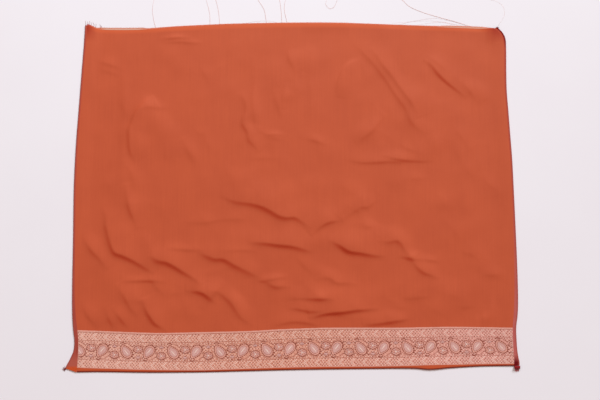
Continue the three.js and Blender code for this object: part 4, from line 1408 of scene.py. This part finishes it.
CORNER_ENDS = [
    [[-556, 458], [-558, 464], [-558, 470]], [[-553, 457], [-552, 463], [-553, 468]],
    [[-549, 456], [-547, 462], [-548, 470]], [[-545, 455], [-543, 460], [-542, 466]],
    [[-538, 452], [-536, 458], [-538, 465]], [[-533, 450], [-531, 456], [-531, 462]],
    [[-521, 448], [-519, 454], [-521, 461]], [[-519, 448], [-516, 453], [-517, 457]],
]
LONG_THICKNESS = 0.5
ON_TABLE = 0.42


def long_route(points):
    x, y = points[0]
    root = [x, y, float(lift(np.array([float(x)]), raw_end(x))[0]) + CLOTH / 2]
    route = smooth_route([root] + [[px, py, ON_TABLE] for px, py in points[1:]], 8)
    route[:, 2] = np.maximum(route[:, 2], ON_TABLE)
    return route


long_routes, end_routes, fine_routes = [
    [long_route(points) for points in threads] for threads in (LONG_THREADS, CORNER_ENDS, FINE_THREADS)
]
long_threads = thread_tubes("long_threads", long_routes, LONG_THICKNESS, pale_thread, 5)
dark_thread = raw_thread_finish("dark_thread", colour(150, 70, 60))
corner_ends = thread_tubes("corner_ends", end_routes, LONG_THICKNESS * 1.5, dark_thread, 5)
fine_routes.append(smooth_route(UPPER_LOOP))
fine_threads = thread_tubes("fine_threads", fine_routes, LONG_THICKNESS * 0.5, pale_thread)
for piece in (long_threads, corner_ends, fine_threads):
    dress(piece)

# %% [markdown]
# ## Curl and frayed corners
# The lower end of the right selvage has curled up on itself like a shaving, dark wine where it is
# tight. Three corners end in a small fan of loose fibres.

# %% Curl and frays
CURL = {"from": 529.6, "length": 13.9, "y": -416.4, "z": 3.6, "inner": 1.3, "outer": 5.2, "turns": 1.5}
CURL_CELLS = {"along": 16, "round": 60}
FLATTENED = 0.62
NARROWING = 0.08
WAVER = {"radius": 0.18, "x": 0.5}


def curl_grid(offset):
    """The curl's sheet, moved outward by half its thickness or inward by as much."""
    turn, along = np.meshgrid(
        np.linspace(0, 1, CURL_CELLS["round"] + 1), np.linspace(0, 1, CURL_CELLS["along"] + 1), indexing="ij"
    )
    angle = turn * CURL["turns"] * math.tau
    waver = WAVER["radius"] * np.sin(along * 9 + turn * 14)
    radius = CURL["outer"] + (CURL["inner"] - CURL["outer"]) * turn + waver + offset
    narrow = 1 - NARROWING * along
    x = CURL["from"] + CURL["length"] * along + WAVER["x"] * np.sin(turn * 17)
    y = CURL["y"] - np.sin(angle) * radius * narrow
    z = CURL["z"] - np.cos(angle) * radius * FLATTENED * narrow
    return np.stack([x, y, z], axis=-1)


wine_threads = raw_thread_finish("wine_threads", colour(138, 26, 30), 0.65)
fuzz_threads = raw_thread_finish("fuzz_threads", colour(226, 132, 142), 0.7)
corner_threads = raw_thread_finish("corner_threads", colour(112, 10, 16), 0.7)
curl = closed_sheet("right_curl", curl_grid(CLOTH / 2), curl_grid(-CLOTH / 2), wine_threads)
dress(curl, "selvage_curl")

FRAYS = table(["x", "y", "z", "rootWide", "heading", "spread", "least", "most", "count"], [
    [-579.0, -420.0, 1.0, 4.0, 188, 66, 3, 10, 44],
    [536.5, -421.6, 0.8, 9.0, 276, 26, 2.5, 7, 44],
    [513.4, 449.6, 3.6, 3.4, 70, 50, 1.6, 5, 44],
])
FRAY_PIECES = (
    ("lower_left_fray", "tuft_lower_left", wine_threads),
    ("lower_right_fray", "tuft_lower_right", fuzz_threads),
    ("upper_right_fray", "tuft_upper_right", corner_threads),
)
FRAY_THICKNESS = 0.42


def fray_routes(fray, seed):
    draw = np.random.default_rng(seed)
    routes = []
    for _ in range(int(fray["count"])):
        heading = math.radians(fray["heading"] + draw.uniform(-1, 1) * fray["spread"])
        bend = draw.uniform(-0.7, 0.7)
        reach = draw.uniform(fray["least"], fray["most"])
        root = np.array([fray["x"] + draw.uniform(-0.5, 0.5) * fray["rootWide"], fray["y"], fray["z"]])
        middle = root + (math.cos(heading) * reach / 2, math.sin(heading) * reach / 2, draw.uniform(0, 0.8))
        tip = middle + (math.cos(heading + bend) * reach / 2, math.sin(heading + bend) * reach / 2, 0)
        tip[2] = ON_TABLE + draw.uniform(0, 0.35) * fray["z"]
        routes.append(smooth_route([root, middle, tip], 3))
    return routes


for row, (name, node, finish) in zip(zip(*FRAYS.values()), FRAY_PIECES):
    routes = fray_routes(dict(zip(FRAYS, row)), seed=len(name))
    piece = thread_tubes(name, routes, FRAY_THICKNESS, finish)
    dress(piece, node)

# %% [markdown]
# ## The table and the light
# A pale, faintly lilac table top, a broad soft light from the upper right, and pale light from all
# round that keeps the shadows open.

# %% Table and light
def table_finish():
    material, tree, shader = new_finish("pale_table", {"Roughness": 0.9, "Specular IOR Level": 0.1})
    grain = noise(tree, add_node(tree, "ShaderNodeTexCoord").outputs["Object"], 3.0, 4.0)
    paint(tree, shader, blend(tree, grain, colour(241, 232, 236), colour(246, 239, 242)))
    return material


TABLE_SIZE = 8.0
bpy.ops.mesh.primitive_plane_add(size=TABLE_SIZE)
table_top = bpy.context.object
table_top.name = "table_top"
table_top.data.materials.append(table_finish())

WINDOW_COLOUR = (0.927, 1.078, 1.165)
ROOM = {"Color": (1.05, 0.81, 0.7, 1), "Strength": 0.38}
LIGHTS = table(["heading", "elevation", "distance", "size", "power"], [
    [28, 30, 40.0, 15.0, 15200],
    [-6, 48, 2.4, 0.9, 12],
])
for number, (heading, elevation, distance, size, power) in enumerate(zip(*LIGHTS.values())):
    turn, rise = math.radians(heading), math.radians(elevation)
    light_data = bpy.data.lights.new(f"window_{number + 1}", "AREA")
    light_data.size = size
    light_data.energy = power
    light_data.color = WINDOW_COLOUR
    light = bpy.data.objects.new(light_data.name, light_data)
    light.location = [
        distance * math.sin(turn) * math.cos(rise),
        distance * math.cos(turn) * math.cos(rise),
        distance * math.sin(rise),
    ]
    light.rotation_euler = (math.pi / 2 - rise, 0, math.pi - turn)
    scene.collection.objects.link(light)
world = bpy.data.worlds.new("room")
world.use_nodes = True
for level, value in ROOM.items():
    world.node_tree.nodes["Background"].inputs[level].default_value = value
scene.world = world
scene.view_settings.view_transform = "Standard"
print("lights:", len(LIGHTS["power"]))
